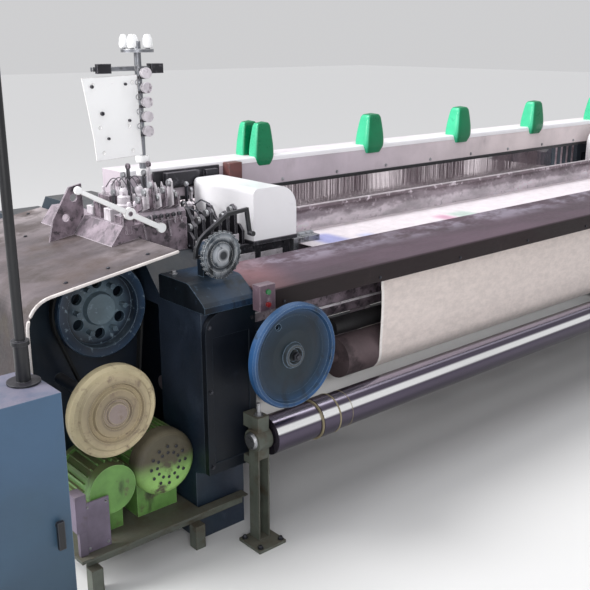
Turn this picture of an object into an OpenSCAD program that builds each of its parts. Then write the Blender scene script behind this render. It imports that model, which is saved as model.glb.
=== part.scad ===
// Wide power loom with its drive at the left end. +X runs along the loom, the weaver stands at -Y, +Z is up.
// The origin is on the floor, under the middle of the whole loom.

/* [Loom] */
// Clear width between the two side frames
work_w = 3600; // [3300:50:3900]
// Reach of the left end past the left side frame's inner face
left_over = 1285; // [1265:5:1340]
// Reach of the right end past the right side frame's inner face
right_over = 665; // [620:5:700]
// Width of each cast side frame
frame_w = 210; // [190:5:220]
// Height of the woven cloth above the floor
weave_z = 950; // [948:1:960]

/* [Cloth and warp] */
// Distance from the left side frame to the reed's left end
reed_left = 505; // [490:5:540]
// Distance from the reed's right end to the right side frame
reed_right = 400; // [380:5:440]
// Number of gaps in the reed
reed_gaps = 120; // [60:10:120]
// Thickness of the cloth and of the warp sheet
cloth_t = 1.2; // [0.8:0.2:2]
// How much narrower the cloth is at each edge where it hangs
cloth_draw_in = 165; // [100:5:200]
// Clearance between cloth and what it passes
cloth_gap = 0.4; // [0.3:0.1:0.8]

/* [Rollers] */
// Radius of the take-up roller
takeup_r = 83; // [70:1:86]
// Radius of the press roller
press_r = 36; // [30:1:38]
// Radius of the cloth tube
tube_r = 70; // [50:1:74]
// Radius of the back-rest roller
whip_r = 60; // [50:1:64]
// Radius of the warp beam's flanges
flange_r = 370; // [340:5:372]
// Radius of the yarn wound on the warp beam
yarn_r = 280; // [200:5:300]
// Radius of the roller journals
journal_r = 20; // [15:1:22]
// Radial running clearance of shafts in their bores
run_gap = 0.05; // [0.02:0.01:0.1]
// Clearance each side of a sliding frame in its slot
slide_gap = 0.25; // [0.2:0.05:0.3]

/* [Handwheel] */
// Radius of the handwheel
wheel_r = 186; // [160:2:190]
// Depth of the handwheel's rim
wheel_t = 40; // [30:1:44]

/* [Harness] */
// Number of heald frames
heald_frames = 4; // [2:1:4]
// Distance between heald frames
heald_pitch = 40; // [34:1:42]
// Thickness of a heald frame
heald_t = 12; // [8:1:14]
// Lift of a heald frame each way
heald_lift = 40; // [20:5:45]
// Number of heald stacks in each frame
heald_count = 40; // [20:5:60]

/* [Top beam] */
// Height of the top beam's face
top_h = 127; // [100:1:140]
// Depth of the top beam
top_d = 140; // [120:5:142]
// Distance between the green frame guides
guide_pitch = 685; // [600:5:700]
// Height of a green frame guide
guide_h = 190; // [150:5:220]

/* [Drive] */
// Radius of the flywheel
fly_r = 168; // [150:2:172]
// Radius of the motor pulley
pulley_r = 50; // [40:1:60]
// Radius of the main motor
motor_r = 115; // [100:1:118]
// Radius of the round guard
guard_r = 155; // [140:1:160]
// Thickness of the hood's sheet
hood_t = 4; // [2:0.5:6]
// Clearance between the belt and its pulleys
belt_gap = 0.3; // [0.2:0.1:0.5]

/* [Cabinet] */
// Width of the control cabinet
cab_w = 442; // [420:1:500]
// Depth of the control cabinet
cab_d = 220; // [200:5:260]
// Height of the control cabinet
cab_h = 850; // [800:5:880]
// Radius of the pole on the cabinet
pole_r = 14; // [8:1:18]
// Height of the pole's top above the floor
pole_top = 1950; // [1700:10:2100]

/* [Hidden] */
$fn = 48;
e = 0.01;
total_len = left_over + work_w + right_over;
x_l = -total_len / 2 + left_over;
x_r = x_l + work_w;
x_lo = x_l - frame_w;
x_ro = x_r + frame_w;
x_mid = (x_l + x_r) / 2;
reed_x0 = x_l + reed_left;
reed_x1 = x_r - reed_right;
reed_len = reed_x1 - reed_x0;
pitch = reed_len / reed_gaps;
wire_w = 6;
wire_gap = 2;
reed_y = -304;
reed_t = 16;
rock_y = -260;
rock_z = 420;
rock_r = 30;
col_y = -800;
col_z = 880;
cap_top = 968;
takeup_y = -700;
takeup_z = 520;
nip_angle = 65;
nip = takeup_r + press_r + cloth_t + 2 * cloth_gap;
press_y = takeup_y + nip * cos(nip_angle);
press_z = takeup_z + nip * sin(nip_angle);
tube_y = -880;
tube_z = 400;
wheel_x = x_l + 63;
wheel_y = -950;
wheel_z = 708;
whip_y = 800;
whip_z = weave_z - whip_r - cloth_gap;
beam_y = 700;
beam_z = 430;
beam_shaft_r = 30;
bore_depth = 60;
nose_y = -640;
nose_r = 22;
nose_z = weave_z - nose_r - cloth_gap;
bar_r = 12;
bar_y = takeup_y - takeup_r + bar_r;
bar_z = 836;
top_y = -60;
top_z = 1122;
heald_y0 = top_y + top_d + 30;
heald_x0 = x_l + 190;
heald_x1 = x_r - 160;
fly_x = x_lo - 187;
fly_z = 853;
fly_y = -450;
fly_t = 76;
shaft_r = 25;
motor_x = x_lo - motor_r - 6;
motor_z = 350;
second_z = 325;
second_r = 88;
second_x = motor_x - motor_r - second_r - 4;
guard_x = x_lo - 316;
guard_z = 605;
motor_shaft_r = 14;
box_x = x_lo - 450;
box_y0 = -380;
box_y1 = 330;
hood_y0 = -690;
hood_y1 = 350;
hood_r = 96;
hood_z_r = 1066;
hood_z_l = 1000;
hood_low = 450;
stand_top = hood_z_r + 54;
right_top = 1040;
post_x = x_lo + 170;
post_y = -200;
disc_x = x_lo + 113;
disc_y = -765;
disc_z = 1053;
disc_r = 82;
disc_shaft_r = 12;
lever_bore_r = 20;
button_r = 9;
button_zs = [888, 932];
hinge_r = 4;
cab_x0 = -total_len / 2 + 2 * hinge_r;
cab_x1 = cab_x0 + cab_w;
cab_y0 = -1050;
cab_y1 = cab_y0 + cab_d;
hinge_x = cab_x0 - hinge_r;
hinge_y = cab_y0 - hinge_r;
hinge_pin_r = 2.5;
hinge_zs = [150, 730];
cab_wall = 3;
door_t = 18;
guide_x = x_l + 665;

module block(a, b) { translate(a) cube(b - a); }
module rod_x(x0, x1, y, z, r) { translate([x0, y, z]) rotate([0, 90, 0]) cylinder(r = r, h = x1 - x0); }
module rod_y(y0, y1, x, z, r) { translate([x, y0, z]) rotate([-90, 0, 0]) cylinder(r = r, h = y1 - y0); }
module rod_z(z0, z1, x, y, r) { translate([x, y, z0]) cylinder(r = r, h = z1 - z0); }
// A profile drawn in (y, z), carried along X
module along_x(x0, x1) { translate([x0, 0, 0]) rotate([90, 0, 90]) linear_extrude(x1 - x0) children(); }
// A profile drawn in (x, z), carried along Y
module along_y(y0, y1) { translate([0, y1, 0]) rotate([90, 0, 0]) linear_extrude(y1 - y0) children(); }
// The same piece on the right, mirrored about the middle of the working width
module to_right() { translate([2 * x_mid, 0, 0]) mirror([1, 0, 0]) children(); }
function arc(c, r, a0, a1, n) =
    [for (i = [0:n]) let (a = a0 + (a1 - a0) * i / n) [c[0] + r * cos(a), c[1] + r * sin(a)]];
// Angle of the line that touches two circles on the same side, seen from their centres
function touch(a, ra, b, rb, side) = atan2(b[1] - a[1], b[0] - a[0]) + side * acos((ra - rb) / norm(b - a));
module square_at(a, b) { translate(a) square(b - a); }

// Cast side frame: a column in front, a deep web, and arms that carry the rollers
module frame_outline() {
    polygon([[-740, 0], [-620, 0], [-620, 90], [-560, 150], [470, 150], [540, 90], [540, 0], [780, 0],
        [780, 540], [740, 640], [740, 760], [870, 830], [870, 930], [840, 980], [420, 980], [300, top_z],
        [-90, top_z], [-100, 1000], [-450, 1000], [-560, col_z], [col_y, col_z], [col_y, 290],
        [-740, 270]]);
}
module side_frame() {
    difference() {
        along_x(x_lo, x_l) frame_outline();
        along_x(x_lo - e, x_l - 34) square_at([-540, 190], [-60, 850]);
        along_x(x_lo - e, x_l - 34) square_at([0, 190], [560, 860]);
        along_x(x_lo - e, x_l - 34) square_at([600, 190], [752, 520]);
        rod_x(x_lo, x_l + e, -440, 700, 70);
        rod_x(x_lo, x_l + e, 180, 520, 150);
        rod_x(x_l - bore_depth, x_l + e, takeup_y, takeup_z, journal_r + run_gap);
        rod_x(x_l - bore_depth, x_l + e, press_y, press_z, journal_r - 5 + run_gap);
        rod_x(x_l - bore_depth, x_l + e, whip_y, whip_z, journal_r + run_gap);
        rod_x(x_l - 40, x_l + e, rock_y, rock_z, rock_r + run_gap);
        rod_x(x_l - 40, x_l + e, beam_y, beam_z, beam_shaft_r + run_gap);
        for (y = [-680, 660]) rod_z(-e, 150, (x_lo + x_l) / 2, y, 9);
        block([x_lo - e, -725, 30], [x_l + e, -640, 90]);
        block([x_lo - e, 560, 30], [x_l + e, 760, 110]);
    }
}
module side_frame_left() { color("#1d2a3c") side_frame(); }
module side_frame_right() { color("#1d2a3c") to_right() side_frame(); }

// Sheet cover on the column's face, with a rounded outer shoulder and a pressed panel
module column_cover() {
    difference() {
        along_y(col_y - 24, col_y) polygon(concat([[x_l, 290], [x_l, col_z - 4]],
            arc([x_lo + 70, col_z - 74], 70, 90, 180, 8), [[x_lo, 290]]));
        along_y(col_y - 24 - e, col_y - 20) square_at([x_lo + 28, 330], [x_l - 28, col_z - 90]);
    }
}
module column_covers() {
    color("#18263a") {
        column_cover();
        to_right() column_cover();
    }
}

// Cast cap with a sloping front, over the column's head; the left one has an ear for the indexing disc
module column_cap() {
    along_x(x_lo - 6, x_l) polygon([[-832, col_z], [-832, col_z + 22], [-820, col_z + 34],
        [-746, cap_top - 4], [-730, cap_top], [-566, cap_top], [-560, cap_top - 6], [-560, col_z]]);
}
module column_caps() {
    color("#2f5478") {
        difference() {
            union() {
                column_cap();
                block([disc_x - 30, -704, cap_top - 1], [disc_x + 30, -668, disc_z]);
                rod_y(-704, -668, disc_x, disc_z, 30);
                rod_y(-750, -700, disc_x, disc_z, lever_bore_r);
            }
            rod_y(-751, -667, disc_x, disc_z, disc_shaft_r + run_gap);
        }
        to_right() column_cap();
    }
}

// Angle post with a foot plate; it holds the end of the cloth tube and is braced to the column
module leg() {
    difference() {
        union() {
            block([x_l - 60, tube_y - 26, 0], [x_l - 10, tube_y + 26, 490]);
            block([x_l - 100, tube_y - 80, 0], [x_l + 20, tube_y + 40, 12]);
            block([x_l - 60, tube_y + 20, 440], [x_l - 10, col_y - 24, 490]);
            block([x_l - 60, tube_y + 20, 300], [x_l - 10, col_y - 24, 330]);
            rod_x(x_l - 66, x_l - 4, tube_y, tube_z, 42);
        }
        rod_x(x_l - 70, x_l, tube_y, tube_z, journal_r + run_gap);
        block([x_l - 54, tube_y - 27, 16], [x_l - 16, tube_y + 20, 330]);
    }
}
module legs() {
    color("#8f9a8e") {
        leg();
        to_right() leg();
    }
}

// Square tubes across the loom: one under the breast, one low in front and one low at the back
module cross_ties() {
    color("#1b2838") {
        for (y = [-600, 200]) difference() {
            block([x_l, y, 160], [x_r, y + 100, 260]);
            block([x_l + 10, y + 8, 168], [x_r - 10, y + 92, 252]);
        }
        difference() {
            block([x_l, -600, 800], [x_r, -470, 915]);
            block([x_l + 10, -592, 808], [x_r - 10, -478, 907]);
        }
    }
}

// Round bars that turn the cloth
module cloth_bars() {
    color("#9aa0a4") {
        rod_x(x_l, x_r, nose_y, nose_z, nose_r);
        rod_x(x_l, x_r, bar_y, bar_z, bar_r);
    }
}

// Folded plate over the breast: a sloping top and a front face with an inward lip
module breast_plate() {
    color("#6b5450") along_x(x_l + 40, x_r - 40)
        polygon([[-850, 850], [-850, 916], [-844, 922], [-612, 968], [-608, 962], [-842, 915], [-844, 912],
        [-844, 856], [-800, 856], [-800, 850]]);
}
module plate_bracket() {
    difference() {
        along_x(x_l, x_l + 40) polygon([[-850, 850], [-850, 918], [-844, 924], [-612, 970], [-560, 960],
            [-560, 915], [-690, 915], [-700, 850]]);
        rod_x(x_l - e, x_l + 41, nose_y, nose_z, nose_r);
    }
}
module plate_brackets() {
    color("#5a4a4c") {
        plate_bracket();
        to_right() plate_bracket();
    }
}

// Box beam over the harness
module top_beam() {
    color("#b0a6aa") difference() {
        along_x(x_l - 60, x_r + 60) polygon(concat([[top_y + top_d, top_z], [top_y, top_z]],
            arc([top_y + 8, top_z + top_h - 8], 8, 180, 90, 4), [[top_y + top_d, top_z + top_h]]));
        along_x(x_l - 50, x_r + 50) square_at([top_y + 6, top_z + 6],
            [top_y + top_d - 6, top_z + top_h - 6]);
    }
}

// A guide: four tapering faces, hooked over the beam's edge
module guide(x, y, w, d) {
    z0 = top_z + top_h - 40;
    translate([x, y, z0]) hull() {
        translate([-w / 2, -d / 2, 0]) cube([w, d, 1]);
        translate([-w * 0.3, -d * 0.28, guide_h - 1]) cube([w * 0.56, d * 0.7, 1]);
    }
}
module frame_guides() {
    color("#0f8a5a") difference() {
        union() {
            for (i = [0:4]) guide(guide_x + i * guide_pitch, top_y + 22, i == 0 ? 110 : 128,
                i == 0 ? 64 : 100);
            guide(guide_x - 8, top_y + 106, 110, 64);
        }
        block([x_l, top_y, top_z], [x_r, top_y + top_d, top_z + top_h]);
    }
}

// Slotted blocks on the side frames, in which the heald frames slide
module harness_comb(wall, edge) {
    side = edge > wall ? 1 : -1;
    y1 = heald_y0 + (heald_frames - 1) * heald_pitch + heald_t;
    difference() {
        block([min(wall, edge - 3 * side), heald_y0 - 26, 690],
            [max(wall, edge - 3 * side), y1 + 26, 1090]);
        for (i = [0:heald_frames - 1]) block([min(edge, edge - 24 * side),
            heald_y0 + i * heald_pitch - slide_gap, 680], [max(edge, edge - 24 * side),
            heald_y0 + i * heald_pitch + heald_t + slide_gap, 1120]);
        block([min(wall - side, edge - 60 * side), heald_y0 - 27, 760],
            [max(wall - side, edge - 60 * side), y1 + 27, 1020]);
    }
}
module harness_combs() {
    color("#3a4450") {
        harness_comb(x_l, heald_x0);
        harness_comb(x_r, heald_x1);
    }
}

// Gear casing of the left end, with bosses for the drive shaft and the round guard
function hood_z(x) = hood_z_r + (hood_z_l - hood_z_r) * (x_lo - x) / (x_lo - box_x);
module drive_box() {
    color("#1c2838") difference() {
        union() {
            along_y(box_y0, box_y1) polygon([[box_x, 40], [x_lo, 40], [x_lo, hood_z(x_lo)],
                [box_x + 80, hood_z(box_x + 80)], [box_x, hood_z_l - 80]]);
            for (x = [box_x, x_lo - 80]) block([x, box_y0, 0], [x + 80, box_y1, 41]);
            rod_y(box_y0 - 24, box_y0, fly_x, fly_z, 60);
            rod_y(-722, box_y0, guard_x, guard_z, 20);
        }
        rod_y(box_y0 - 30, box_y0 + 80, fly_x, fly_z, shaft_r + run_gap);
    }
}
module right_box() {
    color("#1c2838") {
        block([x_ro, -360, 40], [x_ro + 330, 330, right_top - 120]);
        for (x = [x_ro, x_ro + 250]) block([x, -360, 0], [x + 80, 330, 41]);
    }
}

// Bent sheet cover over the drive end: it slopes down to the left and turns down at the end
module hood_line(t) {
    slope = atan((hood_z_r - hood_z_l) / (x_lo - box_x));
    x = box_x - 4;
    c = [x, hood_z(x) + hood_t - hood_r / cos(slope)];
    polygon(concat([[x_lo, hood_z(x_lo) + hood_t - t / cos(slope)]],
        arc(c, hood_r - t, 90 + slope, 180, 12), [[x - hood_r + t, hood_low], [x_lo, hood_low]]));
}
module hood_left() {
    color("#a39d95") difference() {
        along_y(hood_y0, hood_y1) hood_line(0);
        along_y(hood_y0 - 1, hood_y1 - hood_t) hood_line(hood_t * 0.99);
        block([x_lo - 1, hood_y0 - 2, hood_low - 1], [x_lo + 1, hood_y1 - hood_t, hood_z(x_lo)]);
    }
}
module hood_right_line(t) {
    polygon(concat([[x_ro - t / 2, hood_low - t / 2], [total_len / 2 - t, hood_low - t / 2]],
        arc([total_len / 2 - hood_r, right_top - hood_r], hood_r - t, 0, 90, 8),
        [[x_ro - t / 2, right_top - t]]));
}
module hood_right() {
    color("#a39d95") difference() {
        along_y(hood_y0, hood_y1) hood_right_line(0);
        along_y(hood_y0 + hood_t, hood_y1 - hood_t) hood_right_line(hood_t);
        block([x_ro - 1, hood_y0 - 1, col_z - 1], [x_ro + 7, -550, cap_top + 1]);
    }
}

// Rails on the floor that carry the motors
module motor_base() {
    color("#8b918b") {
        difference() {
            block([box_x, -792, 90], [x_l - 20, -752, 140]);
            block([box_x - 1, -793, 84], [x_l - 19, -757, 135]);
        }
        block([box_x - 30, -790, 128], [x_lo - 4, -460, 140]);
        for (x = [box_x, x_lo - 44]) block([x, -792, 0], [x + 40, -752, 91]);
        for (x = [box_x, x_lo - 44]) block([x, -500, 0], [x + 40, -460, 129]);
    }
}

// Ribbed motor on a foot
module motor(x, z, r, y0, y1, fins) {
    difference() {
        union() {
            rod_y(y0, y1, x, z, r - 10);
            for (i = [0:fins - 1]) translate([x, y0 + 8, z])
                rotate([0, i * 360 / fins, 0]) translate([-2.5, 0, 0]) cube([5, y1 - y0 - 30, r]);
            rod_y(y1 - 20, y1, x, z, r);
            block([x - r * 0.7, y0 + 20, 140], [x + r * 0.7, y1 - 20, z - r * 0.5]);
        }
        rod_y(y1 - 60, y1 + 1, x, z, motor_shaft_r + run_gap);
    }
}
module main_motor() { color("#5f9a4a") motor(motor_x, motor_z, motor_r, -690, -500, 24); }
module motor_fan_cover() {
    color("#7d7458") translate([motor_x, -690, motor_z]) rotate([90, 0, 0]) rotate_extrude()
        polygon(concat([[0, 0], [motor_r + 3, 0]], arc([motor_r - 27, 30], 30, 0, 90, 6),
            [[30, 66], [0, 66]]));
}
module second_motor() {
    color("#4f8a55") {
        motor(second_x, second_z, second_r, -700, -520, 20);
        rod_y(-740, -700, second_x, second_z, second_r - 6);
    }
}

// Round guard with pressed rings and a rolled edge
module round_guard() {
    color("#b9a678") translate([guard_x, -722, guard_z]) rotate([90, 0, 0]) rotate_extrude($fn = 72)
        polygon([[0, 0], [guard_r - 8, 0], [guard_r, 8], [guard_r, 34], [guard_r - 10, 44],
            [guard_r - 24, 44], [guard_r - 32, 52], [100, 56], [94, 48], [84, 48], [78, 58], [52, 60],
            [47, 52], [38, 52], [34, 62], [0, 64]]);
}
module terminal_box() {
    color("#a58f95") {
        block([x_lo - 445, -758, 141], [x_lo - 356, -752, 320]);
        block([x_lo - 480, -770, 230], [x_lo - 442, -715, 360]);
        block([x_lo - 470, -765, 140], [x_lo - 442, -748, 231]);
    }
}

// Casing of the take-up's worm, on the left side frame's inner face
module worm_box() {
    color("#27394f") difference() {
        union() {
            block([x_l, -842, wheel_z - 70], [wheel_x + 70, -750, wheel_z + 70]);
            rod_y(-900, -842, wheel_x, wheel_z, 34);
        }
        rod_y(-901, -780, wheel_x, wheel_z, 16 + run_gap);
    }
}

// Sheet pedestal on the left end, which carries the weft stand
module stand_base() {
    color("#8d8d8f") {
        difference() {
            along_y(-430, 120) polygon([[x_lo - 110, hood_z(x_lo - 110) + hood_t], [x_lo - 60, stand_top],
                [x_l - 4, stand_top], [x_l - 4, 1000], [x_lo, 1000], [x_lo, hood_z(x_lo) + hood_t]]);
            block([x_lo, -100.2, 999], [x_l + 1, 121, max(stand_top, top_z) + 1]);
        }
        block([x_lo - 62, -438, stand_top - 1], [x_lo - 18, -428, stand_top + 67]);
        block([x_lo - 50, -438, stand_top - 30], [x_lo - 30, -430, stand_top]);
        rod_y(-454, -430, x_lo - 40, stand_top + 45, 8);
    }
}
module stand_post() {
    color("#9a9ca0") {
        rod_z(stand_top, stand_top + 12, post_x, post_y, 34);
        rod_z(stand_top + 12, stand_top + 620, post_x, post_y, 13);
        rod_z(stand_top + 580, stand_top + 592, post_x, post_y, 60);
        for (i = [0:4]) rod_z(stand_top + 592, stand_top + 640, post_x + 48 * cos(i * 72),
            post_y + 48 * sin(i * 72), 6);
        block([post_x - 190, post_y - 9, stand_top + 515], [post_x + 95, post_y + 9, stand_top + 531]);
    }
}
module stand_panel() {
    color("#e4e2da") difference() {
        translate([post_x, 0, stand_top]) along_y(post_y - 20, post_y - 14)
            polygon([[-240, 495], [-18, 502], [-14, 280], [-10, 210], [-200, 202], [-206, 280]]);
        for (p = [[-200, 470], [-40, 475], [-180, 320], [-60, 320], [-170, 230], [-50, 230]])
            rod_y(post_y - 30, post_y - 10, post_x + p[0], stand_top + p[1], 6);
    }
    color("#9a9ca0") for (z = [stand_top + 250, stand_top + 460])
        block([post_x - 60, post_y - 14, z], [post_x - 13.2, post_y + 6, z + 24]);
}
module tensioners() {
    color("#c9c6c0") for (i = [0:4]) {
        z = stand_top + 300 + i * 52;
        rod_y(post_y - 52, post_y - 13.2, post_x, z, 5);
        rod_y(post_y - 60, post_y - 52, post_x, z, 20);
        rod_y(post_y - 44, post_y - 38, post_x, z, 18);
    }
}
module stand_bracket() {
    color("#dedad2") difference() {
        along_y(-160, -152) polygon([[x_lo - 210, hood_z(x_lo - 210) + hood_t], [x_lo - 190, stand_top],
            [x_lo - 120, stand_top + 110], [x_lo - 70, stand_top + 120], [x_lo - 66, stand_top],
            [x_lo - 114, hood_z(x_lo - 114) + hood_t]]);
        rod_y(-161, -151, x_lo - 104, stand_top + 70, 14);
        rod_y(-161, -151, x_lo - 140, stand_top, 14);
    }
}

// Lever that rocks on a stud of the pedestal and feeds the weft
module weft_lever() {
    color("#e6e3dc") difference() {
        union() {
            rod_y(-452, -440, x_lo - 40, stand_top + 45, 22);
            rod_y(-452, -440, x_lo + 85, stand_top - 22, 18);
            translate([x_lo - 40, -452, stand_top + 45])
                rotate([0, atan2(67, 125), 0]) translate([0, 0, -10]) cube([142, 12, 20]);
        }
        rod_y(-453, -439, x_lo - 40, stand_top + 45, 8 + run_gap);
    }
}

// Casting that throws the weft in at the left, with rockers on a shaft beside the white cover
module rocker(x, z) {
    difference() {
        along_x(x, x + 12) polygon([[-430, 984], [-452, 1010], [-448, z], [-428, z + 16], [-404, z],
            [-392, 1040], [-340, 1050], [-290, z - 10], [-262, z - 4], [-262, z - 30], [-300, 984]]);
        rod_x(x - 1, x + 13, -426, z - 6, 7);
    }
}
module picking_unit() {
    color("#3d3f45") difference() {
        union() {
            block([x_l, -469, 860], [reed_x0 - 45, -120, 985]);
            block([reed_x0 - 255, -505, 985], [reed_x0 - 35, -100, 1000]);
            for (i = [0:5]) rocker(x_l + 16 + i * 37, 1082 + (i % 3) * 22);
            rod_x(x_l + 8, x_l + 232, -360, 1020, 15);
            rod_x(x_l + 8, x_l + 232, -424, 1024, 9);
            for (x = [x_l, x_l + 228]) along_x(x, x + 10)
                polygon([[-462, 984], [-462, 1040], [-440, 1062], [-340, 1062], [-318, 1040], [-318, 984]]);
            for (i = [0:2]) rod_z(984, 1052 + i * 22, x_l + 50 + i * 70, -190 + i * 14, 20);
            block([x_l + 20, -240, 984], [x_l + 226, -140, 1030]);
        }
        block([x_l + 60, -450, 859], [reed_x0 - 100, -130, 900]);
    }
}
module unit_cover() {
    color("#e9e6e6") difference() {
        along_y(-500, -105) polygon(concat([[reed_x0 - 250, 1000], [reed_x0 - 250, 1180]],
            arc([reed_x0 - 230, 1180], 20, 180, 90, 4), arc([reed_x0 - 125, 1110], 90, 90, 0, 10),
            [[reed_x0 - 35, 1000]]));
        along_y(-496, -104) polygon(concat([[reed_x0 - 246, 999], [reed_x0 - 246, 1180]],
            arc([reed_x0 - 230, 1180], 16, 180, 90, 4), arc([reed_x0 - 125, 1110], 86, 90, 0, 10),
            [[reed_x0 - 39, 999]]));
    }
}
module receiving_unit() {
    color("#e9e6e6") union() {
        block([reed_x1 + 45, -469, 860], [x_r, -120, 1000]);
        along_y(-500, -105) polygon(concat([[reed_x1 + 250, 1000], [reed_x1 + 35, 1000],
            [reed_x1 + 35, 1110]], arc([reed_x1 + 125, 1110], 90, 180, 90, 10), [[reed_x1 + 250, 1200]]));
    }
}
module temple() {
    block([reed_x0 - 30, -480, 915], [reed_x0 - 6, -456, weave_z + 24]);
    block([reed_x0 - 30, -480, weave_z + cloth_t + cloth_gap], [reed_x0 + 110, -440, weave_z + 24]);
    rod_x(reed_x0 - 20, reed_x0 + 100, -440, weave_z + 20, 17);
}
module temples() {
    color("#8890a8") {
        temple();
        translate([reed_x0 + reed_x1, 0, 0]) mirror([1, 0, 0]) temple();
    }
}

// Control cabinet: a sheet case, open in front behind its door
module cabinet() {
    color("#56708c") {
        difference() {
            block([cab_x0, cab_y0 + door_t, 0], [cab_x1, cab_y1, cab_h]);
            block([cab_x0 + cab_wall, cab_y0, 60], [cab_x1 - cab_wall, cab_y1 - cab_wall,
                cab_h - cab_wall]);
        }
        for (z = hinge_zs) {
            rod_z(z - 12, z + 27, hinge_x, hinge_y, hinge_pin_r);
            block([hinge_x - hinge_r, hinge_y - hinge_r, z - 12], [cab_x0 - 0.3, cab_y0 + door_t, z - 0.3]);
            block([hinge_x - hinge_r, cab_y0 + door_t, z - 12],
                [cab_x0 + 1, cab_y0 + door_t + 22, z - 0.3]);
        }
    }
}
module cabinet_door() {
    color("#5b7590") difference() {
        union() {
            block([cab_x0, cab_y0, 60], [cab_x1, cab_y0 + door_t - 0.3, cab_h]);
            for (z = hinge_zs) {
                rod_z(z, z + 28, hinge_x, hinge_y, hinge_r);
                block([hinge_x, cab_y0 - 3, z], [cab_x0 + 26, cab_y0 + 1, z + 28]);
            }
        }
        for (z = hinge_zs) rod_z(z - 1, z + 29, hinge_x, hinge_y, hinge_pin_r + run_gap);
        rod_y(cab_y0 - 1, cab_y0 + door_t, cab_x1 - 40, 470, 9 + run_gap);
        block([cab_x0 + 20, cab_y0 + 3, 80], [cab_x1 - 70, cab_y0 + door_t, cab_h - 20]);
    }
}
module door_handle() {
    color("#2a2c30") {
        rod_y(cab_y0 - 8, cab_y0 + door_t + 2, cab_x1 - 40, 470, 9);
        block([cab_x1 - 50, cab_y0 - 20, 400], [cab_x1 - 30, cab_y0 - 8, 484]);
    }
}
module cabinet_gear() {
    color("#c8c8c4") {
        block([cab_x0 + 30, cab_y1 - 12, 100], [cab_x1 - 30, cab_y1 - cab_wall, cab_h - 40]);
        for (i = [0:3]) block([cab_x0 + 50 + i * 90, cab_y1 - 90, 620],
            [cab_x0 + 120 + i * 90, cab_y1 - 12, 720]);
        for (i = [0:5]) block([cab_x0 + 50 + i * 60, cab_y1 - 80, 400],
            [cab_x0 + 100 + i * 60, cab_y1 - 12, 480]);
        block([cab_x0 + 60, cab_y1 - 100, 160], [cab_x1 - 80, cab_y1 - 12, 300]);
    }
}
module pole() {
    color("#17181c") {
        rod_z(cab_h, cab_h + 6, cab_x1 - 45, cab_y0 + 130, 46);
        rod_z(cab_h + 6, cab_h + 110, cab_x1 - 45, cab_y0 + 130, 20);
        rod_z(cab_h + 110, cab_h + 122, cab_x1 - 45, cab_y0 + 130, 25);
        rod_z(cab_h + 122, pole_top, cab_x1 - 45, cab_y0 + 130, pole_r);
    }
}

// Sley: a rocking shaft, swords and the race beam
module sley() {
    color("#4a4748") {
        rod_x(x_l - 36, x_r + 36, rock_y, rock_z, rock_r);
        for (i = [0:5]) {
            x = reed_x0 + 60 + i * (reed_len - 120) / 5 - 15;
            along_x(x, x + 30) polygon([[rock_y - 50, rock_z - 40], [rock_y + 50, rock_z - 40],
                [rock_y + 50, rock_z + 40], [reed_y + 60, 860], [reed_y - 30, 860],
                [rock_y - 50, rock_z + 40]]);
        }
        along_x(reed_x0, reed_x1) polygon([[reed_y - 30, 858], [reed_y + 60, 858], [reed_y + 60, 900],
            [reed_y + reed_t, 928], [reed_y - 24, 928], [reed_y - 30, 922]]);
    }
}
// Reed: a wall of wires between a lower rail and a cap
module reed() {
    color("#8a8086") {
        block([reed_x0, reed_y, 928], [reed_x1, reed_y + reed_t, weave_z - 8]);
        block([reed_x0, reed_y - 2, 1040], [reed_x1, reed_y + reed_t + 2, 1058]);
        for (i = [0:reed_gaps])
            translate([reed_x0 + i * pitch - (i == 0 ? 0 : i == reed_gaps ? wire_w : wire_w / 2),
                reed_y + 2, weave_z - 9])
            cube([wire_w, reed_t - 4, 1041 - weave_z + 9]);
    }
}

// Heald frame: two rails, end stays, healds in stacks and lifting rods
module heald_frame(k) {
    y = heald_y0 + k * heald_pitch;
    step = round(reed_gaps / heald_count);
    block([heald_x0 - 20, y, 640], [heald_x1 + 20, y + heald_t, 700]);
    block([heald_x0 - 20, y, 1110], [heald_x1 + 20, y + heald_t, 1160]);
    for (x = [heald_x0 - 20, heald_x1]) block([x, y, 640], [x + 20, y + heald_t, 1160]);
    for (i = [k % step:step:reed_gaps]) translate([reed_x0 + i * pitch - 2.5, y + heald_t / 2 - 2, 699])
        cube([5, 4, 412]);
    for (x = [heald_x0 + 300, heald_x1 - 300]) rod_z(500, 641, x, y + heald_t / 2, 5);
}
module heald_frame_1() { color("#8c8f86") heald_frame(0); }
module heald_frame_2() { color("#84877e") heald_frame(1); }
module heald_frame_3() { color("#8c8f86") heald_frame(2); }
module heald_frame_4() { color("#84877e") heald_frame(3); }

// Cloth: flat on the weaving plane, over the nose bar, down to the take-up roller and round it to the nip
fell_y = reed_y - 36;
module cloth() {
    nose = [nose_y, nose_z];
    bar = [bar_y, bar_z];
    drum = [takeup_y, takeup_z];
    nose_out = nose_r + cloth_gap;
    bar_out = bar_r + cloth_gap;
    drum_out = takeup_r + cloth_gap;
    lean = 360 + touch(nose, nose_out, bar, bar_out, -1);
    nip_end = 360 + nip_angle + 6;
    color("#e2ddd0") {
        along_x(reed_x0, reed_x1) polygon(concat([[fell_y, weave_z], [fell_y, weave_z + cloth_t]],
            arc(nose, nose_out + cloth_t, 90, lean, 6), arc(nose, nose_out, lean, 90, 6)));
        along_x(reed_x0 + cloth_draw_in, reed_x1 - cloth_draw_in)
            polygon(concat( arc(nose, nose_out + cloth_t, lean - 12, lean, 3),
            arc(bar, bar_out + cloth_t, lean, 180, 6), arc(drum, drum_out + cloth_t, 180, nip_end, 38),
            arc(drum, drum_out, nip_end, 180, 38), arc(bar, bar_out, 180, lean, 6),
            arc(nose, nose_out, lean, lean - 12, 3)));
    }
}
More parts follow.
